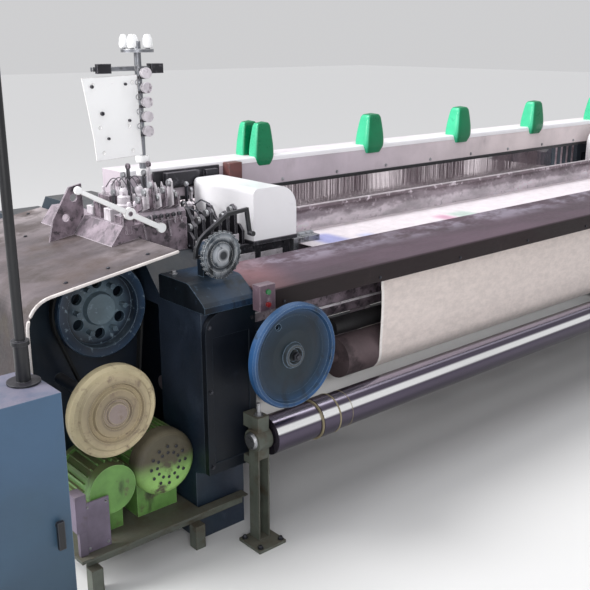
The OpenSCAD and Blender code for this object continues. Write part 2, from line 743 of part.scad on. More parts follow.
// Warp: strips through the reed and the healds, a sheet over the back rest, and down to the beam
module warp_sheet() {
    whip = [whip_y, whip_z];
    pack = [beam_y, beam_z];
    whip_out = whip_r + cloth_gap;
    pack_out = yarn_r + cloth_gap;
    lean = touch(whip, whip_out, pack, pack_out, 1);
    strip_end = heald_y0 + heald_frames * heald_pitch + 10;
    edge = wire_w / 2 + wire_gap;
    color("#d8d2c4") {
        translate([0, 0, weave_z]) linear_extrude(cloth_t) difference() {
            square_at([reed_x0 + edge + wire_gap, fell_y + 0.3], [reed_x1 - edge - wire_gap, whip_y]);
            for (i = [1:reed_gaps - 1]) square_at([reed_x0 + i * pitch - edge, fell_y],
                [reed_x0 + i * pitch + edge, strip_end]);
        }
        along_x(reed_x0 + edge + wire_gap, reed_x1 - edge - wire_gap)
            polygon(concat( arc(whip, whip_out + cloth_t, 90, lean, 12),
            arc(pack, pack_out + cloth_t, lean, lean - 5, 2), arc(pack, pack_out, lean - 5, lean, 2),
            arc(whip, whip_out, lean, 90, 12)));
    }
}

module roller(y, z, r, x0, x1, jr) {
    rod_x(x0, x1, y, z, r);
    rod_x(x_l - bore_depth + 4, x_r + bore_depth - 4, y, z, jr);
}
module takeup_roller() { color("#6d5646") roller(takeup_y, takeup_z, takeup_r, reed_x0 - 4, reed_x1 + 4,
    journal_r); }
module press_roller() { color("#2c2a2c") roller(press_y, press_z, press_r, reed_x0 + 20, reed_x1 - 20,
    journal_r - 5); }
module whip_roller() { color("#8c9094") roller(whip_y, whip_z, whip_r, reed_x0 - 30, reed_x1 + 30,
    journal_r); }
module cloth_tube() {
    color("#c4c7ca") {
        rod_x(x_l + 2, x_r - 2, tube_y, tube_z, tube_r);
        rod_x(x_l - 66, x_r + 66, tube_y, tube_z, journal_r);
        for (x = [x_l + 215, x_r - 295]) rod_x(x, x + 80, tube_y, tube_z, tube_r + 5);
    }
}

// Handwheel: a deep rim, a dished web with a finger hole, and a sunk hub on its shaft
module handwheel() {
    color("#3b6796") difference() {
        union() {
            translate([wheel_x, wheel_y + wheel_t / 2, wheel_z]) rotate([90, 0, 0]) rotate_extrude($fn = 96)
                polygon([[0, 0], [30, 0], [44, 6], [90, 10], [140, 4], [wheel_r - 18, 0], [wheel_r - 6, 2],
                    [wheel_r, 10], [wheel_r, wheel_t - 8], [wheel_r - 6, wheel_t],
                    [wheel_r - 18, wheel_t - 2], [wheel_r - 24, wheel_t - 14], [140, 16], [90, 22],
                    [46, 20], [40, 34], [30, 36], [22, 24], [0, 22]]);
            rod_y(wheel_y + wheel_t / 2 - 5, -784, wheel_x, wheel_z, 16);
        }
        rod_y(wheel_y - wheel_t, wheel_y + wheel_t, wheel_x - 62, wheel_z + 112, 11);
    }
}
module beam_flange() {
    translate([reed_x0 - 15, beam_y, beam_z]) rotate([0, -90, 0]) {
        rotate_extrude($fn = 72) polygon([[0, 0], [flange_r, 0], [flange_r, 22], [flange_r - 14, 22],
            [flange_r - 18, 10], [110, 10], [96, 34], [0, 34]]);
        for (i = [0:7]) rotate([0, 0, i * 45]) translate([90, -5, 9]) cube([flange_r - 105, 10, 11]);
    }
}
module warp_beam() {
    color("#b6ab97") {
        rod_x(x_l - 36, x_r + 36, beam_y, beam_z, beam_shaft_r);
        rod_x(reed_x0 - 16, reed_x1 + 16, beam_y, beam_z, yarn_r);
        beam_flange();
        translate([reed_x0 + reed_x1, 0, 0]) mirror([1, 0, 0]) beam_flange();
    }
}

// Flywheel on the drive shaft: rim, web with windows, hub with bolts
module flywheel() {
    color("#233a58") difference() {
        union() {
            translate([fly_x, fly_y + fly_t / 2, fly_z]) rotate([90, 0, 0]) rotate_extrude($fn = 96)
                polygon([[0, 20], [fly_r - 36, 20], [fly_r - 36, 0], [fly_r - 4, 0], [fly_r, 4],
                    [fly_r, fly_t - 4], [fly_r - 4, fly_t], [fly_r - 34, fly_t], [fly_r - 38, fly_t - 10],
                    [fly_r - 38, 40], [60, 40], [54, 62], [0, 62]]);
            rod_y(fly_y, box_y0 + 76, fly_x, fly_z, shaft_r);
            for (i = [0:5]) rod_y(fly_y - 34, fly_y, fly_x + 88 * cos(i * 60), fly_z + 88 * sin(i * 60), 9);
        }
        for (i = [0:5]) rod_y(fly_y - 50, fly_y + 50, fly_x + 92 * cos(i * 60 + 30),
            fly_z + 92 * sin(i * 60 + 30), 20);
    }
}
module motor_pulley() {
    color("#5a5e62") {
        rod_y(-556, -430, motor_x, motor_z, motor_shaft_r);
        rod_y(-476, -424, motor_x, motor_z, pulley_r);
    }
}
module drive_belt() {
    color("#191919") along_y(-462, -438) difference() {
        hull() {
            translate([fly_x, fly_z]) circle(fly_r + 9);
            translate([motor_x, motor_z]) circle(pulley_r + 9);
        }
        hull() {
            translate([fly_x, fly_z]) circle((fly_r + belt_gap) / cos(180 / $fn));
            translate([motor_x, motor_z]) circle((pulley_r + belt_gap) / cos(180 / $fn));
        }
    }
}

// Indexing disc with ratchet teeth and a spiral groove, on its bracket
module index_disc() {
    color("#7a8894") difference() {
        union() {
            rod_y(disc_y - 8, disc_y + 8, disc_x, disc_z, disc_r - 6);
            for (i = [0:23]) translate([disc_x, disc_y - 5, disc_z])
                rotate([0, i * 15, 0]) translate([-5, 0, 60]) cube([9, 10, disc_r - 60]);
            rod_y(disc_y - 16, disc_y - 8, disc_x, disc_z, 24);
            rod_y(disc_y + 8, -650, disc_x, disc_z, disc_shaft_r);
        }
        translate([disc_x, disc_y - 4, disc_z])
            rotate([90, 0, 0]) rotate_extrude() square_at([44, 0], [60, 10]);
    }
}

// Outline of a flat bar of width w that follows a bent path, with mitred bends
function normal(a, b) = [a[1] - b[1], b[0] - a[0]] / norm(b - a);
function mitre(path, i) = let (k = max(i, 1), n = min(i, len(path) - 2), a = normal(path[k - 1], path[k]),
    b = normal(path[n], path[n + 1])) (a + b) / (1 + a * b);
function ribbon(path, w) = concat([for (i = [0:len(path) - 1]) path[i] + mitre(path, i) * w / 2],
    [for (i = [len(path) - 1:-1:0]) path[i] - mitre(path, i) * w / 2]);

// Bent flat lever that swings on the ear's boss, round the disc's edge to its handle
module hand_lever() {
    path = concat([[-26, -6]], arc([0, 0], 84, 180, 118, 3), [[50, 127], [133, 134], [146, 44]]);
    color("#15171b") {
        difference() {
            union() {
                rod_y(-744, -732, disc_x, disc_z, 32);
                translate([disc_x, 0, disc_z]) along_y(-744, -732) polygon(ribbon(path, 12));
            }
            rod_y(-745, -731, disc_x, disc_z, lever_bore_r + run_gap);
        }
        rod_y(-760, -743, disc_x + 145, disc_z + 50, 9);
    }
}

// Button box on the breast's left bracket, with a start and a stop button
module button_box() {
    color("#6e5a66") difference() {
        block([x_l - 30, -890, 866], [x_l + 36, -850, 956]);
        for (z = button_zs) rod_y(-891, -870, x_l + 3, z, button_r + 2 * run_gap);
    }
}
module push_button(z) { rod_y(-898, -875, x_l + 3, z, button_r); }
module start_button() { color("#2f8a4a") push_button(button_zs[1]); }
module stop_button() { color("#b03030") push_button(button_zs[0]); }

side_frame_left();
side_frame_right();
column_covers();
column_caps();
legs();
cross_ties();
breast_plate();
plate_brackets();
cloth_bars();
top_beam();
frame_guides();
harness_combs();
drive_box();
right_box();
hood_left();
hood_right();
motor_base();
main_motor();
motor_fan_cover();
second_motor();
round_guard();
terminal_box();
worm_box();
stand_base();
stand_post();
stand_panel();
tensioners();
stand_bracket();
weft_lever();
picking_unit();
unit_cover();
receiving_unit();
temples();
cabinet();
cabinet_door();
door_handle();
cabinet_gear();
pole();
sley();
reed();
heald_frame_1();
heald_frame_2();
heald_frame_3();
heald_frame_4();
cloth();
warp_sheet();
takeup_roller();
press_roller();
cloth_tube();
handwheel();
whip_roller();
warp_beam();
flywheel();
motor_pulley();
drive_belt();
index_disc();
hand_lever();
button_box();
start_button();
stop_button();
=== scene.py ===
"""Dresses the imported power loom: finishes for every solid, and the fine pieces that it carries.

Metres, +X along the loom, the weaver at -Y, +Z up. Each shape is an array of points worked out
from two parameters, and each piece rides on the body that carries it.
"""
import math

import bmesh
import bpy
import numpy as np
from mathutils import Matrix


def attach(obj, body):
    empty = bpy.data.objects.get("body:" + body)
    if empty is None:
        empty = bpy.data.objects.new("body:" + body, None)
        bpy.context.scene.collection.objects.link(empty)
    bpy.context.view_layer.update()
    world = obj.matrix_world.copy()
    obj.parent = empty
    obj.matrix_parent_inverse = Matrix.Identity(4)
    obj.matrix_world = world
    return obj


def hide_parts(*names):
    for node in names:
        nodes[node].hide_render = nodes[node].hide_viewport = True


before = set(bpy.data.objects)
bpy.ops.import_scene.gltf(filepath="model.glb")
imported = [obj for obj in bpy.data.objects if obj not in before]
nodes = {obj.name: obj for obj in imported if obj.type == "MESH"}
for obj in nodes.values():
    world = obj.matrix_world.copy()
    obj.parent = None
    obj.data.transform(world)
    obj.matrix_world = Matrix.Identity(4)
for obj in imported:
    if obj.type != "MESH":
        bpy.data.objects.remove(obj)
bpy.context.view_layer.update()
rng = np.random.default_rng(11)

# Places repeated from the part's source, in metres
X_L, X_R, X_LO, X_RO, MIDDLE = -1.49, 2.11, -1.70, 2.32, 0.31
REED_0, REED_1, REED_Y = -0.985, 1.71, -0.304
WEAVE_Z, FELL_Y = 0.95, -0.34
HEALD_Y, HEALD_PITCH = 0.11, 0.04
HEALD_0, HEALD_1, STAY = -1.30, 1.95, 0.02
STAND_TOP = 1.1202
POST = (-1.53, -0.20)
WHEEL = (-1.427, -0.95, 0.708)
DISC = (-1.587, -0.765, 1.053)
FLY = (-1.887, -0.45, 0.853)
GUARD = (-2.016, -0.722, 0.605)
MOTOR = (-1.821, -0.69, 0.35)
SECOND = (-2.028, -0.74, 0.325)
CABINET_SIDE = -2.325
GUIDE_Z, GUIDE_H = 1.209, 0.19

# The green guides' x, y, width and depth
GUIDES = [(-0.825, -0.038, 0.110, 0.064)]
GUIDES += [(-0.825 + 0.685 * i, -0.038, 0.128, 0.100) for i in range(1, 5)]
GUIDES += [(-0.833, 0.046, 0.110, 0.064)]

# What cloth and warp run over: (y, z) and radius to the middle of the cloth or yarn
NOSE, NOSE_R = (-0.64, 0.9276), 0.0230
LOW_BAR, LOW_BAR_R = (-0.771, 0.836), 0.0130
TAKEUP, TAKEUP_R = (-0.70, 0.52), 0.0840
WHIP, WHIP_R = (0.80, 0.8896), 0.061
PACK, PACK_R = (0.70, 0.43), 0.281

# Middle of the cloth tube
TUBE = (0, -0.88, 0.40)

# Spacing of wires and yarns, height of yarns over the weaving plane, cloth drawn in where it hangs
PITCH, LIFT, DRAW_IN = 0.002, 0.0006, 0.165
HEM_0, HEM_1 = REED_0 + DRAW_IN, REED_1 - DRAW_IN


# Nodes of a material

def linear(code):
    """Linear colour of a six-digit sRGB code."""
    c = np.array([int(code[i:i + 2], 16) for i in (1, 3, 5)]) / 255
    return tuple(np.where(c <= 0.04045, c / 12.92, ((c + 0.055) / 1.055) ** 2.4)) + (1.0,)


def add(nt, kind, sockets=None, **props):
    """Adds a node; a socket gets a link or a plain value."""
    n = nt.nodes.new("ShaderNode" + kind)
    for key, value in props.items():
        setattr(n, key, value)
    for key, value in (sockets or {}).items():
        if isinstance(value, bpy.types.NodeSocket):
            nt.links.new(value, n.inputs[key])
        else:
            n.inputs[key].default_value = value
    return n


def mixed(nt, fac, a, b, how="MIX"):
    """Colour a where fac is 0 and b where it is 1."""
    return add(nt, "Mix", {0: fac, 6: a, 7: b}, data_type="RGBA", blend_type=how).outputs[2]


def sums(nt, how, a, b):
    """Result of one sum on two values, named as in the Math node."""
    return add(nt, "Math", {0: a, 1: b}, operation=how).outputs[0]


def noise(nt, where, scale, detail=4.0, rough=0.6, stretch=None):
    """Fractal noise on Object coordinates, optionally stretched along an axis."""
    if stretch:
        where = add(nt, "Mapping", {"Vector": where, "Scale": stretch}).outputs[0]
    return add(nt, "TexNoise", {"Vector": where, "Scale": scale, "Detail": detail,
                                "Roughness": rough}).outputs[0]


def span(nt, value, a, b, c=0.0, d=1.0):
    """Smooth step of value from a to b, giving c to d."""
    return add(nt, "MapRange", {0: value, 1: a, 2: b, 3: c, 4: d},
               interpolation_type="SMOOTHSTEP").outputs[0]


# Camera, light and floor

# Camera's place, focal length and picture width in pixels, turn and tilt in degrees, how far it sees
EYE = (-3.258, -3.07, 1.75)
FOCAL_PIXELS, PICTURE_PIXELS = 870, 590
TURN, TILT, SIGHT = 49.04, 16.457, 80

# Linear colours of sky, backdrop and floor; the sky's strength; the floor's roughness and half width
SKY, SKY_LEVEL = (0.93, 0.95, 1.0, 1), 0.52
BACKDROP = (0.62, 0.62, 0.63, 1)
FLOOR, FLOOR_ROUGH, FLOOR_HALF = (0.66, 0.655, 0.65, 1), 0.8, 40

# Sun through the window: where it comes from, spread in degrees, strength
SUN_FROM, SUN_SPREAD, SUN_STRENGTH = (-0.62, 0.50, 1.0), 22, 2.1

# Square lamps: name, place, what they point at, size and watts
LAMPS = [("top_light", (0.5, -0.6, 5.5), (0.3, -0.2, 0.5), 4.0, 90),
         ("left_window", (-6.0, 1.2, 3.2), (0.0, 0.0, 1.2), 2.0, 170),
         ("front_fill", (-4.5, -5.0, 2.6), (-0.8, -0.5, 0.7), 3.0, 110)]


def photo_camera():
    """Camera at standing eye height, turned 49 degrees from +X and tilted 16.5 degrees down."""
    data = bpy.data.cameras.new("photo_view")
    data.lens = data.sensor_width * FOCAL_PIXELS / PICTURE_PIXELS
    data.clip_end = SIGHT
    cam = bpy.data.objects.new("photo_view", data)
    cam.location = EYE
    cam.rotation_euler = (math.radians(90 - TILT), 0, math.radians(TURN - 90))
    bpy.context.scene.collection.objects.link(cam)
    bpy.context.scene.camera = cam


def aimed(name, data, way):
    """Lamp at the origin that shines along way: tilted from straight down, then turned about Z."""
    lamp = bpy.data.objects.new(name, data)
    tilt = math.atan2(math.hypot(way[0], way[1]), -way[2])
    lamp.rotation_euler = (tilt, 0, math.atan2(way[1], way[0]) - math.pi / 2)
    bpy.context.scene.collection.objects.link(lamp)
    return lamp


def lamps():
    """A broad sun, so that the far floor is as bright as the near one, and square lamps round it."""
    sun = bpy.data.lights.new("window_light", "SUN")
    sun.angle = math.radians(SUN_SPREAD)
    sun.energy = SUN_STRENGTH
    aimed("window_light", sun, -np.array(SUN_FROM))
    for name, place, aim, size, watts in LAMPS:
        data = bpy.data.lights.new(name, "AREA")
        data.shape = "SQUARE"
        data.size = size
        data.energy = watts
        aimed(name, data, np.array(aim) - np.array(place)).location = place


def world_light():
    """Soft sky light; camera, glossy and transmission rays see the pale backdrop in its place."""
    world = bpy.data.worlds.new("studio")
    bpy.context.scene.world = world
    world.use_nodes = True
    nt = world.node_tree
    nt.nodes.clear()
    rays = add(nt, "LightPath").outputs
    seen = sums(nt, "MAXIMUM", rays["Is Camera Ray"], rays["Is Transmission Ray"])
    seen = sums(nt, "MAXIMUM", seen, rays["Is Glossy Ray"])
    sky = add(nt, "Background", {0: SKY, 1: SKY_LEVEL}).outputs[0]
    backdrop = add(nt, "Background", {0: BACKDROP, 1: 1.0}).outputs[0]
    add(nt, "OutputWorld", {0: add(nt, "MixShader", {0: seen, 1: sky, 2: backdrop}).outputs[0]})


def pale_floor():
    """Square floor, level with the loom's feet."""
    half = FLOOR_HALF
    mesh = bpy.data.meshes.new("floor")
    mesh.from_pydata([(-half, -half, 0), (half, -half, 0), (half, half, 0), (-half, half, 0)], [],
                     [(0, 1, 2, 3)])
    floor = bpy.data.objects.new("floor", mesh)
    bpy.context.scene.collection.objects.link(floor)
    mat = bpy.data.materials.new("floor_pale")
    mat.use_nodes = True
    shader = mat.node_tree.nodes["Principled BSDF"]
    shader.inputs["Base Color"].default_value = FLOOR
    shader.inputs["Roughness"].default_value = FLOOR_ROUGH
    mesh.materials.append(mat)


# Finishes

FINE_SCALE, DUST_SCALE, TINT_SCALE = 90.0, 14.0, 2.2
EDGE_WEAR_AND_GLINT_RADIUS, BUMP_DEPTH, COAT_ROUGH = 0.004, 0.002, 0.12


def finish(name, base, patch=None, dust=None, stain=None, edge_wear_and_glint=None, rough=(0.35, 0.6), metal=0.0,
           mottle=0.35, scale=5.0, grain=0.12, edge=0.0025, stretch=None, tint=None, coat=0.0, special=None,
           shine=0.5):
    """Procedural finish: mottled base, patches, dust on what faces up, stains, marked edges (rubbed paint
    on most finishes, a painted highlight on the guides and the top beam), fine bump.

    patch and stain are (colour, noise scale, low, high), dust is (colour, amount), wear is a colour,
    shine is the strength of the plain reflection.
    """
    mat = bpy.data.materials.new(name)
    mat.use_nodes = True
    nt = mat.node_tree
    shader = nt.nodes["Principled BSDF"]
    where = add(nt, "TexCoord").outputs["Object"]
    broad = noise(nt, where, scale, 5.0, 0.62, stretch)
    fine = noise(nt, where, FINE_SCALE, 3.0, 0.7, stretch)
    shade = span(nt, broad, 0.3, 0.72, 1 - mottle, 1 + mottle * 0.7)
    base_colour = linear(base)
    colour = special(nt, where) if special else base_colour
    if tint:
        colour = mixed(nt, span(nt, noise(nt, where, TINT_SCALE, 3.0), 0.38, 0.66), colour, linear(tint))
    grey = add(nt, "CombineColor", {0: shade, 1: shade, 2: shade}).outputs[0]
    colour = mixed(nt, 1.0, colour, grey, "MULTIPLY")
    if patch:
        code, size, low, high = patch
        colour = mixed(nt, span(nt, noise(nt, where, size, 6.0, 0.65), low, high), colour, linear(code))
    if stain:
        code, size, low, high = stain
        runs = noise(nt, where, size, 5.0, 0.6, (1.0, 1.0, 0.3))
        colour = mixed(nt, span(nt, runs, low, high), colour, linear(code))
    # Edge colour: rubbed paint on most finishes; on the guides and the top beam a painted highlight along
    # the edges.
    if edge_wear_and_glint:
        round_edge = add(nt, "Bevel", {"Radius": EDGE_WEAR_AND_GLINT_RADIUS}, samples=4).outputs[0]
        plain = add(nt, "NewGeometry").outputs["Normal"]
        bent = add(nt, "VectorMath", {0: round_edge, 1: plain}, operation="DOT_PRODUCT").outputs["Value"]
        corner = sums(nt, "SUBTRACT", 1.0, bent)
        ragged = sums(nt, "MULTIPLY", fine, 4.0)
        edge_wear_and_glint_mask = span(nt, sums(nt, "MULTIPLY", corner, ragged), 0.06, 0.32)
        colour = mixed(nt, edge_wear_and_glint_mask, colour, linear(edge_wear_and_glint))
    if dust:
        code, amount = dust
        up = add(nt, "SeparateXYZ", {0: add(nt, "NewGeometry").outputs["Normal"]}).outputs[2]
        lies = sums(nt, "MULTIPLY", span(nt, up, 0.25, 0.95),
                    span(nt, noise(nt, where, DUST_SCALE, 6.0, 0.7), 0.25, 0.7, 0.45, 1.0))
        colour = mixed(nt, sums(nt, "MULTIPLY", lies, amount), colour, linear(code))
    nt.links.new(colour, shader.inputs["Base Color"])
    both = sums(nt, "ADD", sums(nt, "MULTIPLY", broad, 0.6), sums(nt, "MULTIPLY", fine, 0.4))
    nt.links.new(span(nt, both, 0.3, 0.7, rough[0], rough[1]), shader.inputs["Roughness"])
    shader.inputs["Metallic"].default_value = metal
    shader.inputs["Specular IOR Level"].default_value = shine
    if coat:
        shader.inputs["Coat Weight"].default_value = coat
        shader.inputs["Coat Roughness"].default_value = COAT_ROUGH
    bump = add(nt, "Bump", {"Height": fine, "Strength": grain, "Distance": BUMP_DEPTH})
    if edge:
        nt.links.new(add(nt, "Bevel", {"Radius": edge}, samples=4).outputs[0], bump.inputs["Normal"])
    nt.links.new(bump.outputs[0], shader.inputs["Normal"])
    mat.diffuse_color = base_colour
    return mat


def rings_from(centre, stops):
    """Special for finish: colour by distance from a line along Y; stops are (radius, colour)."""
    def colour(nt, where):
        parts = add(nt, "SeparateXYZ", {0: where})
        a = sums(nt, "SUBTRACT", parts.outputs[0], centre[0])
        b = sums(nt, "SUBTRACT", parts.outputs[2], centre[2])
        squares = sums(nt, "ADD", sums(nt, "MULTIPLY", a, a), sums(nt, "MULTIPLY", b, b))
        away = sums(nt, "POWER", squares, 0.5)
        far = stops[-1][0]
        ramp = add(nt, "ValToRGB", {0: sums(nt, "DIVIDE", away, far)})
        ramp.color_ramp.elements[0].position = stops[0][0] / far
        ramp.color_ramp.elements[0].color = linear(stops[0][1])
        ramp.color_ramp.elements[1].position = 1.0
        ramp.color_ramp.elements[1].color = linear(stops[-1][1])
        for radius, code in stops[1:-1]:
            ramp.color_ramp.elements.new(radius / far).color = linear(code)
        return ramp.outputs[0]
    return colour


def along(axis, low, high, a, b):
    """Special for finish: colour a below low and b above high along one axis."""
    def colour(nt, where):
        place = add(nt, "SeparateXYZ", {0: where}).outputs["XYZ".index(axis)]
        return mixed(nt, span(nt, place, low, high), linear(a), linear(b))
    return colour


def guide_colour(nt, where):
    """Deep green, with a painted highlight in mint on the faces turned to the window at the left."""
    side = add(nt, "SeparateXYZ", {0: add(nt, "NewGeometry").outputs["Normal"]}).outputs[0]
    return mixed(nt, span(nt, side, -0.35, -0.85), linear("#04784d"), linear("#46c795"))


def tube_colour(nt, where):
    """Polished tube: dark mauve with one lilac and one white painted highlight streak where it turns to the
    light.
    """
    up = add(nt, "SeparateXYZ", {0: add(nt, "NewGeometry").outputs["Normal"]}).outputs[2]
    front = add(nt, "SeparateXYZ", {0: add(nt, "NewGeometry").outputs["Normal"]}).outputs[1]
    lilac = sums(nt, "MULTIPLY", span(nt, up, 0.82, 0.90), span(nt, front, 0.05, -0.10))
    white = sums(nt, "MULTIPLY", span(nt, up, 0.28, 0.42), span(nt, up, 0.70, 0.58))
    white = sums(nt, "MULTIPLY", white, span(nt, front, 0.0, -0.2))
    colour = mixed(nt, lilac, linear("#544d5c"), linear("#b4adbf"))
    return mixed(nt, white, colour, linear("#ffffff"))


def reed_colour(nt, where):
    """Brown-grey steel at the cap, pale with lint down at the race."""
    height = add(nt, "SeparateXYZ", {0: where}).outputs[2]
    ragged = sums(nt, "ADD", height, span(nt, noise(nt, where, 16.0, 5.0, 0.7, (0.5, 1.0, 1.0)), 0.3, 0.7,
                                          -0.014, 0.014))
    colour = mixed(nt, span(nt, ragged, 1.020, 1.045), linear("#b3a6ae"), linear("#7d6d74"))
    return mixed(nt, span(nt, ragged, 0.985, 1.012), linear("#f2e8ee"), colour)


# Dyed spots on the cloth: x and y from and to, and colour
DYED_SPOTS = [(-0.905, -0.775, -0.57, -0.41, "#6f79c2"), (-0.16, -0.08, -0.60, -0.47, "#c4779e"),
              (-0.06, 0.07, -0.61, -0.47, "#9fbcae"), (-0.70, -0.63, -0.61, -0.52, "#b3b8dc")]
SPOT_BLUR = 0.03


def cloth_colour(nt, where):
    """White on the weaving plane and cream where it hangs, a tint partly the cloth's own and partly painted
    shade, with a few dyed spots at the selvage.
    """
    parts = add(nt, "SeparateXYZ", {0: where})
    # The cream below z 0.86 is partly the cloth's own tint and partly painted shade on the hanging cloth.
    colour = mixed(nt, span(nt, parts.outputs[2], 0.86, 0.93), linear("#e5d8d2"), linear("#ddd3d8"))
    # Painted highlight: a paler band just inside each hanging edge.
    edge_highlight = sums(nt, "MAXIMUM", span(nt, parts.outputs[0], HEM_0 + 0.018, HEM_0 + 0.010),
               span(nt, parts.outputs[0], HEM_1 - 0.018, HEM_1 - 0.010))
    edge_highlight = sums(nt, "MULTIPLY", edge_highlight, span(nt, parts.outputs[2], 0.88, 0.86))
    colour = mixed(nt, edge_highlight, colour, linear("#f6efeb"))
    for x0, x1, y0, y1, code in DYED_SPOTS:
        inside = None
        for place, low, high in ((parts.outputs[0], x0, x1), (parts.outputs[1], y0, y1)):
            for step in (span(nt, place, low - SPOT_BLUR, low + SPOT_BLUR),
                         span(nt, place, high - SPOT_BLUR, high + SPOT_BLUR, 1.0, 0.0)):
                inside = step if inside is None else sums(nt, "MULTIPLY", inside, step)
        inside = sums(nt, "MULTIPLY", inside, span(nt, parts.outputs[2], 0.90, 0.93, 0.0, 0.75))
        colour = mixed(nt, inside, colour, linear(code))
    return colour


def hood_colour(nt, where):
    """Painted shade: dark on the front skirt below the top. Grey on top, paler with lint toward the rear
    and the loom.
    """
    parts = add(nt, "SeparateXYZ", {0: where})
    lint = sums(nt, "MAXIMUM", span(nt, parts.outputs[1], -0.12, 0.30),
                span(nt, parts.outputs[0], -2.0, -1.72, 0.0, 0.45))
    top = mixed(nt, lint, linear("#5a5254"), linear("#9d9495"))
    # Painted shade: below z 0.80 the skirt turns near black.
    return mixed(nt, span(nt, parts.outputs[2], 0.80, 1.0), linear("#3a3234"), top)


def plate_colour(nt, where):
    """Painted shade on the front face, dark below the mauve top, with a paler dusty band under the cloth's
    edge.
    """
    parts = add(nt, "SeparateXYZ", {0: where})
    # Painted shade: the front face below z 0.915 is near black, the top above it mauve.
    colour = mixed(nt, span(nt, parts.outputs[2], 0.915, 0.925), linear("#241a1c"), linear("#554650"))
    lint = sums(nt, "MULTIPLY", span(nt, parts.outputs[1], -0.74, -0.66),
                span(nt, noise(nt, where, 11.0, 5.0, 0.7, (0.5, 1.0, 1.0)), 0.42, 0.62))
    colour = mixed(nt, sums(nt, "MULTIPLY", lint, 0.8), colour, linear("#8f8694"))
    red = sums(nt, "MULTIPLY", span(nt, parts.outputs[0], -1.25, -1.42),
               span(nt, parts.outputs[2], 0.915, 0.925))
    return mixed(nt, sums(nt, "MULTIPLY", red, 0.6), colour, linear("#7f5a5c"))


def woven(name, base, special=None, rough=0.85, weave=1400.0, crease=0.25):
    """Cloth: crossed fine waves for the weave, soft creases with painted shade in their valleys and in the
    weave gaps, a little sheen.
    """
    mat = bpy.data.materials.new(name)
    mat.use_nodes = True
    nt = mat.node_tree
    shader = nt.nodes["Principled BSDF"]
    where = add(nt, "TexCoord").outputs["Object"]
    waves = {"Vector": where, "Scale": weave / 6.28, "Distortion": 0.6}
    warp = add(nt, "TexWave", waves, bands_direction="X").outputs[1]
    weft = add(nt, "TexWave", waves, bands_direction="Z").outputs[1]
    knit = sums(nt, "MULTIPLY", warp, weft)
    soft = noise(nt, where, 26.0, 6.0, 0.65, (1.0, 1.0, 2.0))
    colour = special(nt, where) if special else linear(base)
    # Painted shade: the colour follows the bump's height, darker in crease valleys and weave gaps.
    shade = sums(nt, "ADD", span(nt, soft, 0.3, 0.7, 0.88, 1.04), sums(nt, "MULTIPLY", knit, 0.05))
    grey = add(nt, "CombineColor", {0: shade, 1: shade, 2: shade}).outputs[0]
    nt.links.new(mixed(nt, 1.0, colour, grey, "MULTIPLY"), shader.inputs["Base Color"])
    shader.inputs["Roughness"].default_value = rough
    shader.inputs["Sheen Weight"].default_value = 0.25
    height = sums(nt, "ADD", sums(nt, "MULTIPLY", soft, 1.0), sums(nt, "MULTIPLY", knit, 0.08))
    bump = add(nt, "Bump", {"Height": height, "Strength": crease, "Distance": 0.006})
    nt.links.new(bump.outputs[0], shader.inputs["Normal"])
    mat.diffuse_color = linear(base)
    return mat


def ribbed(name, base, rough=0.8):
    """Yarns wound side by side: fine ridges round the X axis, with painted shade in the grooves between
    them.
    """
    mat = bpy.data.materials.new(name)
    mat.use_nodes = True
    nt = mat.node_tree
    shader = nt.nodes["Principled BSDF"]
    where = add(nt, "TexCoord").outputs["Object"]
    ridge = add(nt, "TexWave", {"Vector": where, "Scale": 70.0, "Distortion": 1.5, "Detail": 2.0},
                bands_direction="X").outputs[1]
    soft = noise(nt, where, 7.0, 4.0, 0.6, (2.0, 0.5, 0.5))
    # Painted shade: darker in the grooves, following the ridge that drives the bump.
    shade = sums(nt, "MULTIPLY", span(nt, soft, 0.3, 0.7, 0.82, 1.05),
                 span(nt, ridge, 0.0, 1.0, 0.86, 1.03))
    grey = add(nt, "CombineColor", {0: shade, 1: shade, 2: shade}).outputs[0]
    nt.links.new(mixed(nt, 1.0, linear(base), grey, "MULTIPLY"), shader.inputs["Base Color"])
    shader.inputs["Roughness"].default_value = rough
    bump = add(nt, "Bump", {"Height": ridge, "Strength": 0.5, "Distance": 0.001})
    nt.links.new(bump.outputs[0], shader.inputs["Normal"])
    mat.diffuse_color = linear(base)
    return mat


# Shapes: each gives (points, faces)

def grid(points, wrap=False):
    """Quads over an array of points of shape (rows, columns, 3); wrap closes the columns."""
    rows, cols = points.shape[:2]
    at = np.arange(rows * cols).reshape(rows, cols)
    nxt = np.roll(at, -1, axis=1) if wrap else at[:, 1:]
    cur = at if wrap else at[:, :-1]
    quads = np.stack([cur[:-1], nxt[:-1], nxt[1:], cur[1:]], axis=-1).reshape(-1, 4)
    return points.reshape(-1, 3), [tuple(q) for q in quads.tolist()]


def turned(profile, centre, axis="y", sides=48, start=0.0):
    """Profile of (radius, height) turned about an axis through centre; ends on the axis close in a fan."""
    prof = np.array(profile, float)
    ang = start + np.arange(sides) * 2 * math.pi / sides
    i = "xyz".index(axis)
    j, k = (i + 1) % 3, (i + 2) % 3
    points = np.zeros((len(prof), sides, 3))
    points[..., i] = prof[:, 1:2]
    points[..., j] = prof[:, :1] * np.cos(ang)
    points[..., k] = prof[:, :1] * np.sin(ang)
    points = points + np.array(centre)
    flat, faces = grid(points, True)
    rows = [list(range(r * sides, (r + 1) * sides)) for r in range(len(prof))]
    if prof[0, 0] > 1e-6:
        faces.append(tuple(rows[0][::-1]))
    if prof[-1, 0] > 1e-6:
        faces.append(tuple(rows[-1]))
    return flat, faces


